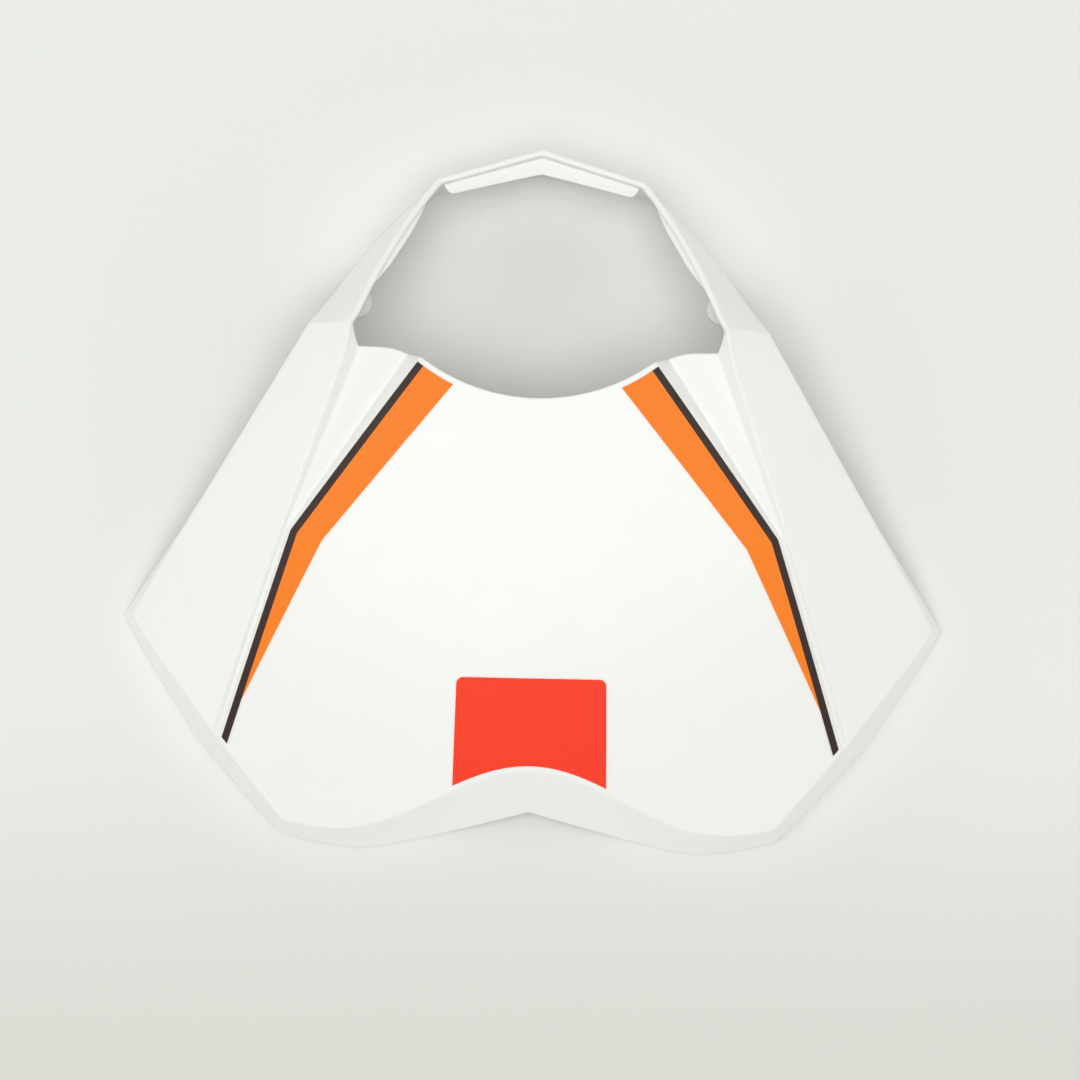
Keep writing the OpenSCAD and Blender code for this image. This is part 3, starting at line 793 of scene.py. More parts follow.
def within(border: list[np.ndarray], x: float, y: float, margin: float) -> bool:
    """Tell whether a plan point lies inside an outline and clear of its points.

    Args:
        border: Points round the outline.
        x: First coordinate of the point.
        y: Second coordinate of the point.
        margin: Least distance to the outline's points.

    Returns:
        True where it does.
    """
    a = np.array(border)
    b = np.roll(a, -1, axis=0)
    spans = (a[:, 1] > y) != (b[:, 1] > y)
    crossing = a[spans, 0] + (y - a[spans, 1]) / (b[spans, 1] - a[spans, 1]) * (b[spans, 0] - a[spans, 0])
    near = np.min(np.hypot(a[:, 0] - x, a[:, 1] - y))
    return bool(np.sum(crossing > x) % 2 == 1 and near > margin)


class Solid:
    """Maker of closed meshes in metres from points in millimetres."""

    ROUND_STEPS = 2

    def __init__(self, centre_y: float) -> None:
        """Keep the shift from the drawing's datum to the row frame."""
        self.shift = np.array([0, centre_y, 0])

    def from_parts(self, name: str, points: list, faces: list, round_mm: float = 0.0) -> bpy.types.Object:
        """Make one closed object, with its sharp edges rounded.

        Args:
            name: Name of the object.
            points: Corner points in millimetres.
            faces: Corner numbers of each face.
            round_mm: Width of the rounding of the sharp edges, or 0 for none.

        Returns:
            The object.
        """
        mesh = bpy.data.meshes.new(name)
        mesh.from_pydata([tuple((np.array(p) - self.shift) * MM) for p in points], [], faces)
        work = bmesh.new()
        work.from_mesh(mesh)
        bmesh.ops.recalc_face_normals(work, faces=work.faces)
        if round_mm:
            sharp = [e for e in work.edges if e.calc_face_angle(0.0) > math.radians(SHARP_DEG)]
            bmesh.ops.bevel(work, geom=sharp, offset=round_mm * MM, segments=self.ROUND_STEPS,
                            profile=0.5, affect="EDGES", clamp_overlap=True)
        work.to_mesh(mesh)
        work.free()
        made = bpy.data.objects.new(name, mesh)
        bpy.context.collection.objects.link(made)
        return made

    def prism(self, name: str, outline: list, offset: np.ndarray,
              round_mm: float = 0.0) -> bpy.types.Object:
        """Push an outline along an offset into a closed solid.

        Args:
            name: Name of the object.
            outline: Points round one end.
            offset: Way from that end to the other.
            round_mm: Width of the rounding of the sharp edges.

        Returns:
            The object.
        """
        n = len(outline)
        far = [np.array(p) + offset for p in outline]
        faces = [tuple(range(n)), tuple(range(2 * n - 1, n - 1, -1))]
        faces += [(i, n + i, n + (i + 1) % n, (i + 1) % n) for i in range(n)]
        return self.from_parts(name, list(outline) + far, faces, round_mm)

    def strip(self, name: str, rows: list, drop: np.ndarray, round_mm: float = 0.0) -> bpy.types.Object:
        """Make a closed strip from pairs of points, as thick as the drop.

        Args:
            name: Name of the object.
            rows: Pairs of points across the strip.
            drop: Way from its upper to its lower face.
            round_mm: Width of the rounding of the sharp edges.

        Returns:
            The object.
        """
        points = [p for a, b in rows for p in (a, b, np.array(b) + drop, np.array(a) + drop)]
        last = len(rows) - 1
        faces = [(0, 1, 2, 3), tuple(4 * last + k for k in (3, 2, 1, 0))]
        faces += [(4 * i + k, 4 * i + 4 + k, 4 * i + 4 + (k + 1) % 4, 4 * i + (k + 1) % 4)
                  for i in range(last) for k in range(4)]
        return self.from_parts(name, points, faces, round_mm)

    def turned(self, name: str, profile: list, place: np.ndarray, segments: int = 48) -> bpy.types.Object:
        """Turn a profile about an upright axis.

        Args:
            name: Name of the object.
            profile: Radius and height pairs, from the axis round to the axis again.
            place: Foot of the axis.
            segments: Number of steps round the axis.

        Returns:
            The object.
        """
        points = [place + [0, 0, profile[0][1]], place + [0, 0, profile[-1][1]]]
        rings = profile[1:-1]
        for radius, height in rings:
            for i in range(segments):
                angle = 2 * math.pi * i / segments
                points.append(place + [radius * math.cos(angle), radius * math.sin(angle), height])
        faces = []
        for i in range(segments):
            j = (i + 1) % segments
            faces.append((0, 2 + j, 2 + i))
            for k in range(len(rings) - 1):
                a, b = 2 + k * segments, 2 + (k + 1) * segments
                faces.append((a + i, a + j, b + j, b + i))
            end = 2 + (len(rings) - 1) * segments
            faces.append((1, end + i, end + j))
        return self.from_parts(name, points, faces)


@dataclass
class RearFrame:
    """Ribs and screw posts behind the panel."""

    form: CowlForm
    post_spacing: tuple[float, float] = (90.0, 70.0)
    post_y: float = -10.0
    post_height: float = 26.0
    post_diameter: float = 9.5
    hole_diameter: float = 4.2
    hole_depth: float = 16.0
    hole_chamfer: float = 0.5
    hole_point_share: float = 0.5
    post_round: float = 0.5
    round_share: float = 0.3
    rib_thickness: float = 2.0
    rib_depth: float = 9.0
    rib_past: float = 12.0
    gusset: float = 16.0
    rib_round: float = 0.4
    steps: int = 36
    bury: float = 1.4

    def top(self, x: float, y: float) -> float:
        """Give the height at which a fitting ends inside the wall."""
        return self.form.panel.lift(np.array([x, y]))[2] - self.bury

    def rib_low(self, x: float, y: float) -> float:
        """Give the height of a rib's lower edge."""
        return self.form.panel.lift(np.array([x, y]))[2] - self.rib_depth

    def build(self, solid: Solid) -> list[bpy.types.Object]:
        """Build the ribs and posts of both halves.

        Args:
            solid: Maker of closed meshes.

        Returns:
            The pieces, which end inside the wall.
        """
        x = self.post_spacing[0] / 2
        rows = [self.post_y - self.post_spacing[1] / 2, self.post_y + self.post_spacing[1] / 2]
        made = []
        for side in (1, -1):
            made.append(self.rib_along_y(solid, side * x, rows))
            for y in rows:
                made.append(self.post(solid, side * x, y))
        for y in rows:
            made.append(self.rib_along_x(solid, x, y))
        return made

    def rib_along_y(self, solid: Solid, x: float, rows: list[float]) -> bpy.types.Object:
        """Build the rib that joins two posts, with a gusset on each side of both posts.

        Args:
            solid: Maker of closed meshes.
            x: Place of the rib across the cowl.
            rows: Places of the two posts along it.

        Returns:
            The rib.
        """
        ys = np.linspace(rows[0] - self.rib_past, rows[1] + self.rib_past, 2 * self.steps + 1)

        def low(y: float) -> float:
            """Give the lower edge, which the gussets take down towards the screw faces.

            Args:
                y: Place along the rib.

            Returns:
                The height of the edge.
            """
            foot = self.post_height + self.rib_thickness
            slope = (self.form.panel.height - foot) / self.gusset
            return min([self.rib_low(x, y)] + [foot + abs(y - row) * slope for row in rows])

        start = x - self.rib_thickness / 2
        outline = [(start, y, low(y)) for y in ys] + [(start, y, self.top(x, y)) for y in ys[::-1]]
        return solid.prism("rib_along_y", outline, np.array([self.rib_thickness, 0, 0]), self.rib_round)

    def rib_along_x(self, solid: Solid, half: float, y: float) -> bpy.types.Object:
        """Build the rib that joins the two posts of one row.

        Args:
            solid: Maker of closed meshes.
            half: Distance of the posts from the centre line.
            y: Place of the row along the cowl.

        Returns:
            The rib.
        """
        xs = np.linspace(-half, half, 2 * self.steps + 1)
        start = y - self.rib_thickness / 2
        outline = [(x, start, self.rib_low(x, y)) for x in xs]
        outline += [(x, start, self.top(x, y)) for x in xs[::-1]]
        return solid.prism("rib_along_x", outline, np.array([0, self.rib_thickness, 0]), self.rib_round)

    def post(self, solid: Solid, x: float, y: float) -> bpy.types.Object:
        """Build one screw post with its blind hole.

        Args:
            solid: Maker of closed meshes.
            x: Place of its axis across the cowl.
            y: Place of its axis along the cowl.

        Returns:
            The post.
        """
        outer, hole, low = self.post_diameter / 2, self.hole_diameter / 2, self.post_height
        turn, chamfer = self.post_round, self.hole_chamfer
        floor, part = low + self.hole_depth, turn * self.round_share
        profile = [(0, floor + hole * self.hole_point_share), (hole, floor), (hole, low + chamfer),
                   (hole + chamfer, low), (outer - turn, low), (outer - part, low + part),
                   (outer, low + turn), (outer, self.top(x, y)), (0, self.top(x, y))]
        return solid.turned("screw_post", profile, np.array([x, y, 0.0]))


@dataclass
class LampSeat:
    """Ledges inside the hoop and the two lugs behind the shoulders."""

    form: CowlForm
    ledge_drop: float = 3.5
    ledge_width: float = 5.9
    ledge_end_width: float = 4.2
    ledge_side_width: float = 2.8
    ledge_thickness: float = 2.0
    side_span: tuple[float, float] = (0.2, 0.9)
    side_fade: float = 0.3
    side_steps: int = 16
    chin_start: float = 1.05
    chin_fade: float = 0.06
    chin_end_steps: tuple[float, ...] = (0, 0.1, 0.3, 0.6, 1)
    chin_steps: tuple[float, ...] = (1.4, 1.7, 2)
    ledge_round: float = 0.4
    wall: float = 2.5
    root_share: float = 0.5
    hidden_share: float = 0.25
    lug_spacing: float = 144.0
    lug_y: float = 92.0
    lug_height: float = 18.0
    lug_thickness: float = 3.5
    lug_diameter: float = 12.0
    hole_diameter: float = 5.5
    lug_round: float = 0.4
    lug_bury: float = 1.3
    strap_shares: tuple[float, float] = (0.95, -0.5)
    strap_steps: int = 6
    lug_steps: int = 24

    def ledges(self, solid: Solid) -> list[bpy.types.Object]:
        """Build the ledge under the apex and the two narrower ones along the hoop's sides.

        Args:
            solid: Maker of closed meshes.

        Returns:
            The three ledges, whose roots are inside the wall.
        """
        form = self.form
        chin = unit(form.hoop_apex[:2] - form.hoop_corner[:2])
        chin_out = np.array([chin[1], -chin[0], 0])

        def row(g: float, side: int) -> tuple[np.ndarray, np.ndarray]:
            """Give the root and the nose of a ledge at one place.

            Args:
                g: Place along the hoop.
                side: 1 for the right half, -1 for the left.

            Returns:
                Both points.
            """
            high, low = form.hoop_point(0, g), form.hoop_point(1, g)
            share = (self.ledge_drop + self.ledge_thickness / 2) / (high[2] - low[2])
            at = mix(high, low, share)
            hidden = -self.wall * self.hidden_share
            if g < 1:
                first, last = self.side_span
                fade = min(1.0, (g - first) / self.side_fade, (last - g) / self.side_fade)
                width = mix(hidden, self.ledge_side_width, math.sin(fade * math.pi / 2))
                out = form.hoop_out
            else:
                fade = min(1.0, (g - self.chin_start) / self.chin_fade)
                full = mix(self.ledge_end_width, self.ledge_width, g - 1)
                width = mix(hidden, full, math.sqrt(1 - (1 - fade) ** 2))
                out = np.array([0, 1 / chin_out[1], 0]) if g == form.APEX_G else chin_out
            pair = [at - out * self.wall * self.root_share, at - out * (self.wall + width)]
            return tuple(np.array([side * p[0], p[1], high[2] - self.ledge_drop]) for p in pair)

        down = np.array([0, 0, -self.ledge_thickness])
        along = [mix(*self.side_span, i / self.side_steps) for i in range(self.side_steps + 1)]
        rise = [self.chin_start + self.chin_fade * share for share in self.chin_end_steps]
        rise += self.chin_steps
        rows = [row(g, 1) for g in rise] + [row(g, -1) for g in rise[-2::-1]]
        made = [solid.strip("lamp_ledge", rows, down, self.ledge_round)]
        for side, places in ((1, along), (-1, along[::-1])):
            rows = [row(g, side) for g in places]
            made.append(solid.strip("lamp_side_ledge", rows, down, self.ledge_round))
        return made

    def lugs(self, solid: Solid, skin: BVHTree) -> list[bpy.types.Object]:
        """Build the two lugs, each a round end on a strap that runs into the hoop's wall.

        Args:
            solid: Maker of closed meshes.
            skin: Surface of the moulding, which says where the wall is.

        Returns:
            The two lugs with their screw holes.
        """
        radius, x = self.lug_diameter / 2, self.lug_spacing / 2
        middle = self.lug_height + self.lug_thickness / 2
        strap = [self.lug_y + radius * share for share in self.strap_shares]
        ends = []
        for y in np.linspace(*strap, self.strap_steps):
            start = (np.array([x, y, middle]) - solid.shift) * MM
            hit = skin.ray_cast(Vector(start), Vector((1, 0, 0)))[0]
            if hit is not None:
                ends.append((hit.x / MM + self.lug_bury, y))
        rounds = [(x + radius * math.sin(a), self.lug_y - radius * math.cos(a))
                  for a in np.linspace(0, -math.pi, self.lug_steps + 1)]
        hole = self.hole_diameter / 2
        made = []
        for side in (1, -1):
            outline = [(side * px, py, self.lug_height) for px, py in rounds + ends]
            lug = solid.prism("lamp_lug", outline, np.array([0, 0, self.lug_thickness]), self.lug_round)
            drill = solid.turned("lug_drill", [(0, 0), (hole, 0), (hole, 2 * middle), (0, 2 * middle)],
                                 np.array([side * x, self.lug_y, 0.0]))
            made.append(joined(lug, [drill], Join.CUT))
        return made


def linear(hex_colour: str) -> tuple[float, float, float, float]:
    """Turn an sRGB hex colour into linear RGBA.

    Args:
        hex_colour: Colour such as "#f4f5f1".

    Returns:
        Red, green, blue and alpha as linear values.
    """
    parts = [int(hex_colour[i:i + 2], 16) / 255 for i in (1, 3, 5)]
    return tuple(p / 12.92 if p <= 0.04045 else ((p + 0.055) / 1.055) ** 2.4 for p in parts) + (1.0,)


def add_node(tree: bpy.types.NodeTree, kind: str, settings: dict | None = None,
             links: dict | None = None) -> bpy.types.Node:
    """Add one shader node with its settings and its incoming links.

    Args:
        tree: Node tree that the node goes into.
        kind: Blender's name of the node type.
        settings: Attribute names, or names or numbers of input sockets, and their values.
        links: Input socket names and the output sockets that feed them.

    Returns:
        The new node.
    """
    node = tree.nodes.new(kind)
    for name, value in (settings or {}).items():
        if isinstance(name, int) or name in node.inputs:
            node.inputs[name].default_value = value
        else:
            setattr(node, name, value)
    for name, source in (links or {}).items():
        tree.links.new(source, node.inputs[name])
    return node


def new_material(name: str) -> tuple[bpy.types.Material, bpy.types.Node, bpy.types.Node]:
    """Start a material with an empty tree, object coordinates and a principled shader.

    Args:
        name: Name of the material.

    Returns:
        The material, its coordinate node and its principled shader.
    """
    material = bpy.data.materials.new(name)
    material.use_nodes = True
    tree = material.node_tree
    tree.nodes.clear()
    coordinates = add_node(tree, "ShaderNodeTexCoord")
    shader = add_node(tree, "ShaderNodeBsdfPrincipled")
    add_node(tree, "ShaderNodeOutputMaterial", links={"Surface": shader.outputs["BSDF"]})
    return material, coordinates, shader


@dataclass(frozen=True)
class MouldedPolypropylene:
    """White polypropylene, injection moulded in a polished tool.

    The eye gets a clean, slightly warm white with a soft gloss, a faint cloudiness where the melt
    cooled unevenly, and an orange-peel ripple in the reflections.
    """

    name: str = "white_polypropylene"
    colour: str = "#f3f4f0"
    cloud_colour: str = "#eff0eb"
    cloud_mm: float = 60.0
    ripple_mm: float = 3.5
    ripple_height_mm: float = 0.02
    scuff_mm: float = 9.0
    gloss_roughness: tuple[float, float] = (0.30, 0.40)
    ior: float = 1.49

    def build(self) -> bpy.types.Material:
        """Build the material.

        Returns:
            The finished material.
        """
        material, coordinates, shader = new_material(self.name)
        tree = material.node_tree
        place = coordinates.outputs["Object"]
        clouds = add_node(tree, "ShaderNodeTexNoise", {"Scale": 1 / (self.cloud_mm * MM), "Detail": 3.0,
                                                       "Roughness": 0.5}, {"Vector": place})
        colour = add_node(tree, "ShaderNodeMix", {"data_type": "RGBA", COLOUR_A: linear(self.colour),
                                                  COLOUR_B: linear(self.cloud_colour)},
                          {"Factor": clouds.outputs["Fac"]})
        tree.links.new(colour.outputs[MIXED_COLOUR], shader.inputs["Base Color"])
        scuffs = add_node(tree, "ShaderNodeTexNoise", {"Scale": 1 / (self.scuff_mm * MM), "Detail": 6.0,
                                                       "Roughness": 0.65}, {"Vector": place})
        gloss = add_node(tree, "ShaderNodeMapRange", {"From Min": NOISE_SPAN[0],
                                                      "From Max": NOISE_SPAN[1],
                                                      "To Min": self.gloss_roughness[0],
                                                      "To Max": self.gloss_roughness[1]},
                         {"Value": scuffs.outputs["Fac"]})
        tree.links.new(gloss.outputs["Result"], shader.inputs["Roughness"])
        ripple = add_node(tree, "ShaderNodeTexNoise", {"Scale": 1 / (self.ripple_mm * MM), "Detail": 2.0},
                          {"Vector": place})
        relief = add_node(tree, "ShaderNodeBump",
                          {"Strength": 1.0, "Distance": self.ripple_height_mm * MM},
                          {"Height": ripple.outputs["Fac"]})
        tree.links.new(relief.outputs["Normal"], shader.inputs["Normal"])
        shader.inputs["IOR"].default_value = self.ior
        return material


@dataclass(frozen=True)
class PrintedVinyl:
    """Printed vinyl film under a clear laminate, cut and pressed on by hand.

    The eye gets a dense flat ink with a gloss softer than the moulding's, and a fine grain of the
    laminate in the highlights. The real grain is too fine to show, so it is drawn coarser.
    """

    name: str
    colour: str
    worn_colour: str
    grain_mm: float = 0.9
    grain_height_mm: float = 0.006
    fade_mm: float = 35.0
    gloss_roughness: tuple[float, float] = (0.50, 0.60)
    ior: float = 1.42

    def build(self) -> bpy.types.Material:
        """Build the material.

        Returns:
            The finished material.
        """
        material, coordinates, shader = new_material(self.name)
        tree = material.node_tree
        place = coordinates.outputs["Object"]
        fade = add_node(tree, "ShaderNodeTexNoise", {"Scale": 1 / (self.fade_mm * MM), "Detail": 4.0},
                        {"Vector": place})
        colour = add_node(tree, "ShaderNodeMix", {"data_type": "RGBA", COLOUR_A: linear(self.colour),
                                                  COLOUR_B: linear(self.worn_colour)},
                          {"Factor": fade.outputs["Fac"]})
        tree.links.new(colour.outputs[MIXED_COLOUR], shader.inputs["Base Color"])
        grain = add_node(tree, "ShaderNodeTexNoise", {"Scale": 1 / (self.grain_mm * MM), "Detail": 3.0},
                         {"Vector": place})
        gloss = add_node(tree, "ShaderNodeMapRange", {"From Min": NOISE_SPAN[0],
                                                      "From Max": NOISE_SPAN[1],
                                                      "To Min": self.gloss_roughness[0],
                                                      "To Max": self.gloss_roughness[1]},
                         {"Value": grain.outputs["Fac"]})
        tree.links.new(gloss.outputs["Result"], shader.inputs["Roughness"])
        relief = add_node(tree, "ShaderNodeBump",
                          {"Strength": 1.0, "Distance": self.grain_height_mm * MM},
                          {"Height": grain.outputs["Fac"]})
        tree.links.new(relief.outputs["Normal"], shader.inputs["Normal"])
        shader.inputs["IOR"].default_value = self.ior
        return material


class SubAssembly:
    """What each sub-assembly does with its built pieces."""

    def dress(self, piece: bpy.types.Object, node: str, slot: str, material: bpy.types.Material) -> None:
        """Give a piece its finish, smooth its shading and let it stand for a node.

        Args:
            piece: Built piece.
            node: Name of the node that it stands for.
            slot: Material slot of the record; not used.
            material: Finish of the piece.
        """
        piece.data.materials.clear()
        piece.data.materials.append(material)
        piece.data.shade_smooth()
        piece.data.set_sharp_from_angle(angle=math.radians(SHARP_DEG))
        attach(piece, "root")
        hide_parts(node)


@dataclass
class Cowl(SubAssembly):
    """The whole cowl, one piece: the moulding with its ribs, posts, ledges and lugs."""

    form: CowlForm
    finish: MouldedPolypropylene = MouldedPolypropylene()

    def build(self, solid: Solid) -> tuple[bpy.types.Object, BVHTree]:
        """Build the cowl and dress it.

        Args:
            solid: Maker of closed meshes.

        Returns:
            The cowl, and the moulding's surface for the films.
        """
        cowl = CowlMoulding(self.form).build()
        skin = BVHTree.FromObject(cowl, bpy.context.evaluated_depsgraph_get())
        seat = LampSeat(self.form)
        fittings = RearFrame(self.form).build(solid) + seat.ledges(solid) + seat.lugs(solid, skin)
        joined(cowl, fittings, Join.UNITE)
        self.dress(cowl, "cowl_shell", "white_polypropylene", self.finish.build())
        return cowl, skin


@dataclass
class Decals(SubAssembly):
    """The films' outlines in plan and the way they are pressed onto the panel."""

    form: CowlForm
    orange: PrintedVinyl = PrintedVinyl("orange_vinyl", "#f88002", "#f47b02")
    black: PrintedVinyl = PrintedVinyl("black_vinyl", "#2e1b13", "#321e15")
    red: PrintedVinyl = PrintedVinyl("red_vinyl", "#f93610", "#f53510")
    film: float = 0.3
    sink: float = 0.12
    line_gap: float = 0.2
    line_width: float = 2.7
    band_top_x: float = 32.2
    band_knee: tuple[float, float] = (81.7, -2.0)
    band_end: float = 69.0
    patch_width: float = 58.0
    patch_flare: float = 2.0
    patch_y: float = -53.5
    patch_round: float = 2.6
    lamp_margin: float = 2.7
    low_margin: float = 1.9
    step: float = 2.6
    clear_share: float = 0.35
    scoop_steps: int = 400
    scoop_past: float = 0.25
    band_steps: int = 8
    patch_steps: int = 25
    round_steps: int = 7

    def beside_fold(self, distance: float) -> list[np.ndarray]:
        """Give the line beside the panel's side edge, from the lamp end over the knee to the lower edge.

        Args:
            distance: How far it keeps from the edge.

        Returns:
            Its three points.
        """
        form = self.form
        shares = np.linspace(0, 1, self.scoop_steps)
        edge = np.array([form.panel.scoop(s) for s in shares]) - [0, self.lamp_margin]
        past_peak = edge[-1] + (edge[-1] - edge[-2]) * self.scoop_steps * self.scoop_past
        edge = np.vstack([edge, past_peak])
        away = (edge - form.peak) @ form.upper_in
        start = np.array([np.interp(-distance, -away, edge[:, k]) for k in (0, 1)])
        both = unit(form.upper_in + form.lower_in)
        middle = form.knee + both * distance / (both @ form.upper_in)
        run = form.line_end + form.lower_in * distance
        past = ((form.foot - run) @ form.low_out - self.low_margin) / (form.lower_dir @ form.low_out)
        return [start, middle, run + form.lower_dir * past]

    def line(self) -> list[np.ndarray]:
        """Give the outline of the black line of the right half.

        Returns:
            Its points in plan.
        """
        near, far = self.beside_fold(self.line_gap), self.beside_fold(self.line_gap + self.line_width)
        return near + far[::-1]

    def band(self) -> list[np.ndarray]:
        """Give the outline of the orange band of the right half.

        Returns:
            Its points in plan.
        """
        form = self.form
        start, middle, _ = self.beside_fold(self.line_gap + self.line_width)
        low = middle + form.lower_dir * self.band_end
        shares = np.linspace(self.band_top_x, start[0], self.band_steps) / form.panel.peak_x
        top = [form.panel.scoop(s) - [0, self.lamp_margin] for s in shares[:-1]]
        return [start, middle, low, np.array(self.band_knee)] + top

    def patch(self) -> list[np.ndarray]:
        """Give the outline of the red patch.

        Returns:
            Its points in plan.
        """
        top_x, turn = self.patch_width / 2, self.patch_round
        low_x = top_x + self.patch_flare / 2
        below = [self.form.low.curve(x) + [0, self.low_margin]
                 for x in np.linspace(-low_x, low_x, self.patch_steps)]
        corner = [np.array([top_x - turn + turn * math.cos(a), self.patch_y - turn + turn * math.sin(a)])
                  for a in np.linspace(0, math.pi / 2, self.round_steps)]
        return below + corner + [p * [-1, 1] for p in corner[::-1]]

    def press(self, name: str, outline: list[np.ndarray], skin: BVHTree,
              shift: np.ndarray) -> bpy.types.Object:
        """Cut one film to its outline and press it onto the moulding.

        Args:
            name: Name of the piece.
            outline: Plan points round the film.
            skin: Surface of the moulding.
            shift: Shift from the drawing's datum to the row frame.

        Returns:
            The closed film.
        """
        border = []
        for a, b in zip(outline, outline[1:] + outline[:1]):
            count = max(1, round(np.linalg.norm(b - a) / self.step))
            border += [mix(a, b, i / count) for i in range(count)]
        low, high = np.min(border, axis=0), np.max(border, axis=0)
        xs, ys = (np.arange(low[k], high[k], self.step) for k in (0, 1))
        clear = self.clear_share * self.step
        inside = [np.array([x, y]) for x in xs for y in ys if within(border, x, y, clear)]
        count = len(border)
        rim = [(i, (i + 1) % count) for i in range(count)]
        flat, _, faces, *_ = delaunay_2d_cdt([Vector(p) for p in border + inside], rim, [],
                                             INSIDE_ONLY, TOUCH_MM)
        upper, lower = [], []
        for p in flat:
            above = Vector(((p.x - shift[0]) * MM, (p.y - shift[1]) * MM, 1.0))
            place, normal, *_ = skin.ray_cast(above, Vector((0, 0, -1)))
            upper.append(place + normal * self.film * MM)
            lower.append(place - normal * self.sink * MM)
        work = bmesh.new()
        tops = [work.verts.new(p) for p in upper]
        bottoms = [work.verts.new(p) for p in lower]
        work.verts.index_update()
        for face in faces:
            work.faces.new([tops[i] for i in face])
            work.faces.new([bottoms[i] for i in reversed(face)])
        for edge in [e for e in work.edges if e.is_boundary]:
            a, b = (v.index for v in edge.verts)
            if a < len(tops):
                work.faces.new([tops[a], tops[b], bottoms[b], bottoms[a]])
        bmesh.ops.recalc_face_normals(work, faces=work.faces)
        mesh = bpy.data.meshes.new(name)
        work.to_mesh(mesh)
        work.free()
        made = bpy.data.objects.new(name, mesh)
        bpy.context.collection.objects.link(made)
        return made

    def build(self, skin: BVHTree, shift: np.ndarray) -> list[bpy.types.Object]:
        """Build the films and dress them.

        Args:
            skin: Surface of the moulding.
            shift: Shift from the drawing's datum to the row frame.

        Returns:
            The band and the line of each side, and the patch.
        """
        orange, black, red = (ink.build() for ink in (self.orange, self.black, self.red))
        made = []
        for side, sign in (("right", 1), ("left", -1)):
            for name, outline, slot, ink in (("orange_band", self.band(), "orange_vinyl", orange),
                                             ("black_line", self.line(), "black_vinyl", black)):
                film = self.press(f"{name}_film_{side}", [p * [sign, 1] for p in outline], skin, shift)
                self.dress(film, f"{name}_{side}", slot, ink)
                made.append(film)
        patch = self.press("red_patch_film", self.patch(), skin, shift)
        self.dress(patch, "red_patch", "red_vinyl", red)
        return made + [patch]


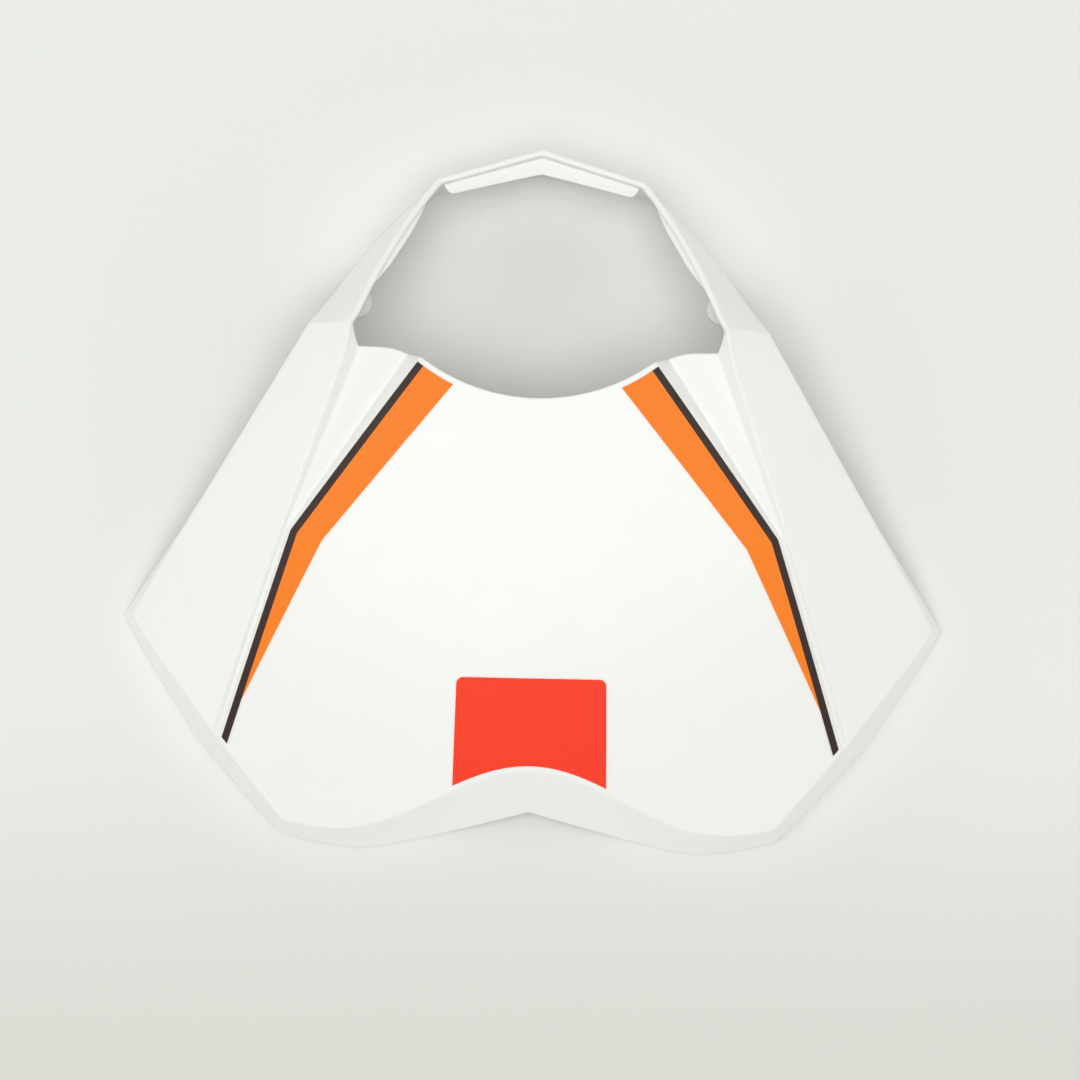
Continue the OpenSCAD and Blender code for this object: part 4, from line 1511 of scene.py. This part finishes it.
@dataclass
class Studio:
    """Pale floor with painted shade towards the viewer, soft light from overhead and from around, and a
    camera that looks straight down.
    """

    floor_colour: str = "#eaede7"
    # Painted shade: the floor's colour towards the viewer, darker where the light falls off.
    floor_shade_colour: str = "#dadcd4"
    floor_shade_fade_mm: tuple[float, float] = (-60.0, -230.0)
    floor_mm: float = 6000.0
    floor_drop_mm: float = 0.3
    floor_roughness: float = 0.7
    key_place_mm: tuple[float, float, float] = (-100.0, -80.0, 2200.0)
    key_size_mm: float = 2000.0
    key_watts: float = 36.5
    zenith_strength: float = 0.14
    horizon_strength: float = 1.07
    horizon_rise: tuple[float, float] = (0.35, 0.72)
    camera_height_mm: float = 1200.0
    camera_x_mm: float = 2.2
    camera_y_mm: float = -13.65
    camera_roll_deg: float = 1.2
    lens_mm: float = 99.73
    sensor_mm: float = 36.0

    def build(self) -> None:
        """Build the floor, the lamp, the sky and the camera."""
        self.lay_floor()
        self.hang_light()
        self.place_camera()

    def lay_floor(self) -> None:
        """Lay the plain floor just below the part, with painted shade that darkens it a little towards the
        viewer.
        """
        bpy.ops.mesh.primitive_plane_add(size=self.floor_mm * MM,
                                         location=(0, 0, -self.floor_drop_mm * MM))
        floor = bpy.context.object
        floor.name = "studio_floor"
        material, coordinates, shader = new_material("pale_floor")
        tree = material.node_tree
        place = add_node(tree, "ShaderNodeSeparateXYZ", links={"Vector": coordinates.outputs["Object"]})
        # Painted shade: the floor fades to its darker colour towards the viewer.
        fade = add_node(tree, "ShaderNodeMapRange", {"interpolation_type": "SMOOTHSTEP",
                                                     "From Min": self.floor_shade_fade_mm[0] * MM,
                                                     "From Max": self.floor_shade_fade_mm[1] * MM},
                        {"Value": place.outputs["Y"]})
        colour = add_node(tree, "ShaderNodeMix", {"data_type": "RGBA",
                                                  COLOUR_A: linear(self.floor_colour),
                                                  COLOUR_B: linear(self.floor_shade_colour)},
                          {"Factor": fade.outputs["Result"]})
        tree.links.new(colour.outputs[MIXED_COLOUR], shader.inputs["Base Color"])
        shader.inputs["Roughness"].default_value = self.floor_roughness
        floor.data.materials.append(material)

    def hang_light(self) -> None:
        """Hang one wide soft lamp and set a white sky that is brighter towards the horizon."""
        lamp = bpy.data.lights.new("soft_lamp", "AREA")
        lamp.shape = "SQUARE"
        lamp.size = self.key_size_mm * MM
        lamp.energy = self.key_watts
        holder = bpy.data.objects.new("soft_lamp", lamp)
        holder.location = Vector(self.key_place_mm) * MM
        holder.rotation_euler = Vector(self.key_place_mm).to_track_quat("Z", "Y").to_euler()
        bpy.context.collection.objects.link(holder)
        world = bpy.data.worlds.new("studio_world")
        world.use_nodes = True
        tree = world.node_tree
        sky = tree.nodes["Background"]
        sky.inputs["Color"].default_value = (1.0, 1.0, 1.0, 1.0)
        direction = add_node(tree, "ShaderNodeTexCoord")
        parts = add_node(tree, "ShaderNodeSeparateXYZ", links={"Vector": direction.outputs["Generated"]})
        rise = add_node(tree, "ShaderNodeMapRange", {"interpolation_type": "SMOOTHSTEP",
                                                     "From Min": self.horizon_rise[0],
                                                     "From Max": self.horizon_rise[1],
                                                     "To Min": self.horizon_strength,
                                                     "To Max": self.zenith_strength},
                        {"Value": parts.outputs["Z"]})
        tree.links.new(rise.outputs["Result"], sky.inputs["Strength"])
        bpy.context.scene.world = world

    def place_camera(self) -> None:
        """Place the camera above the number panel, turned a little as the part lies."""
        camera = bpy.data.cameras.new("camera")
        camera.lens = self.lens_mm
        camera.sensor_width = self.sensor_mm
        holder = bpy.data.objects.new("camera", camera)
        holder.location = Vector((self.camera_x_mm, self.camera_y_mm, self.camera_height_mm)) * MM
        holder.rotation_euler = (0.0, 0.0, math.radians(self.camera_roll_deg))
        bpy.context.collection.objects.link(holder)
        bpy.context.scene.camera = holder


def main() -> None:
    """Build the studio, the cowl and its films in order, and report each piece."""
    logging.basicConfig(level=logging.INFO, format="%(name)s: %(message)s")
    bpy.context.scene.view_settings.view_transform = "Standard"
    Studio().build()
    form = CowlForm()
    solid = Solid(form.centre_y)
    cowl, skin = Cowl(form).build(solid)
    films = Decals(form).build(skin, solid.shift)
    for piece in [cowl] + films:
        LOG.info("%s: %d faces, %s", piece.name, len(piece.data.polygons), piece.active_material.name)
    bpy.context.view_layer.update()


if __name__ == "__main__":
    main()
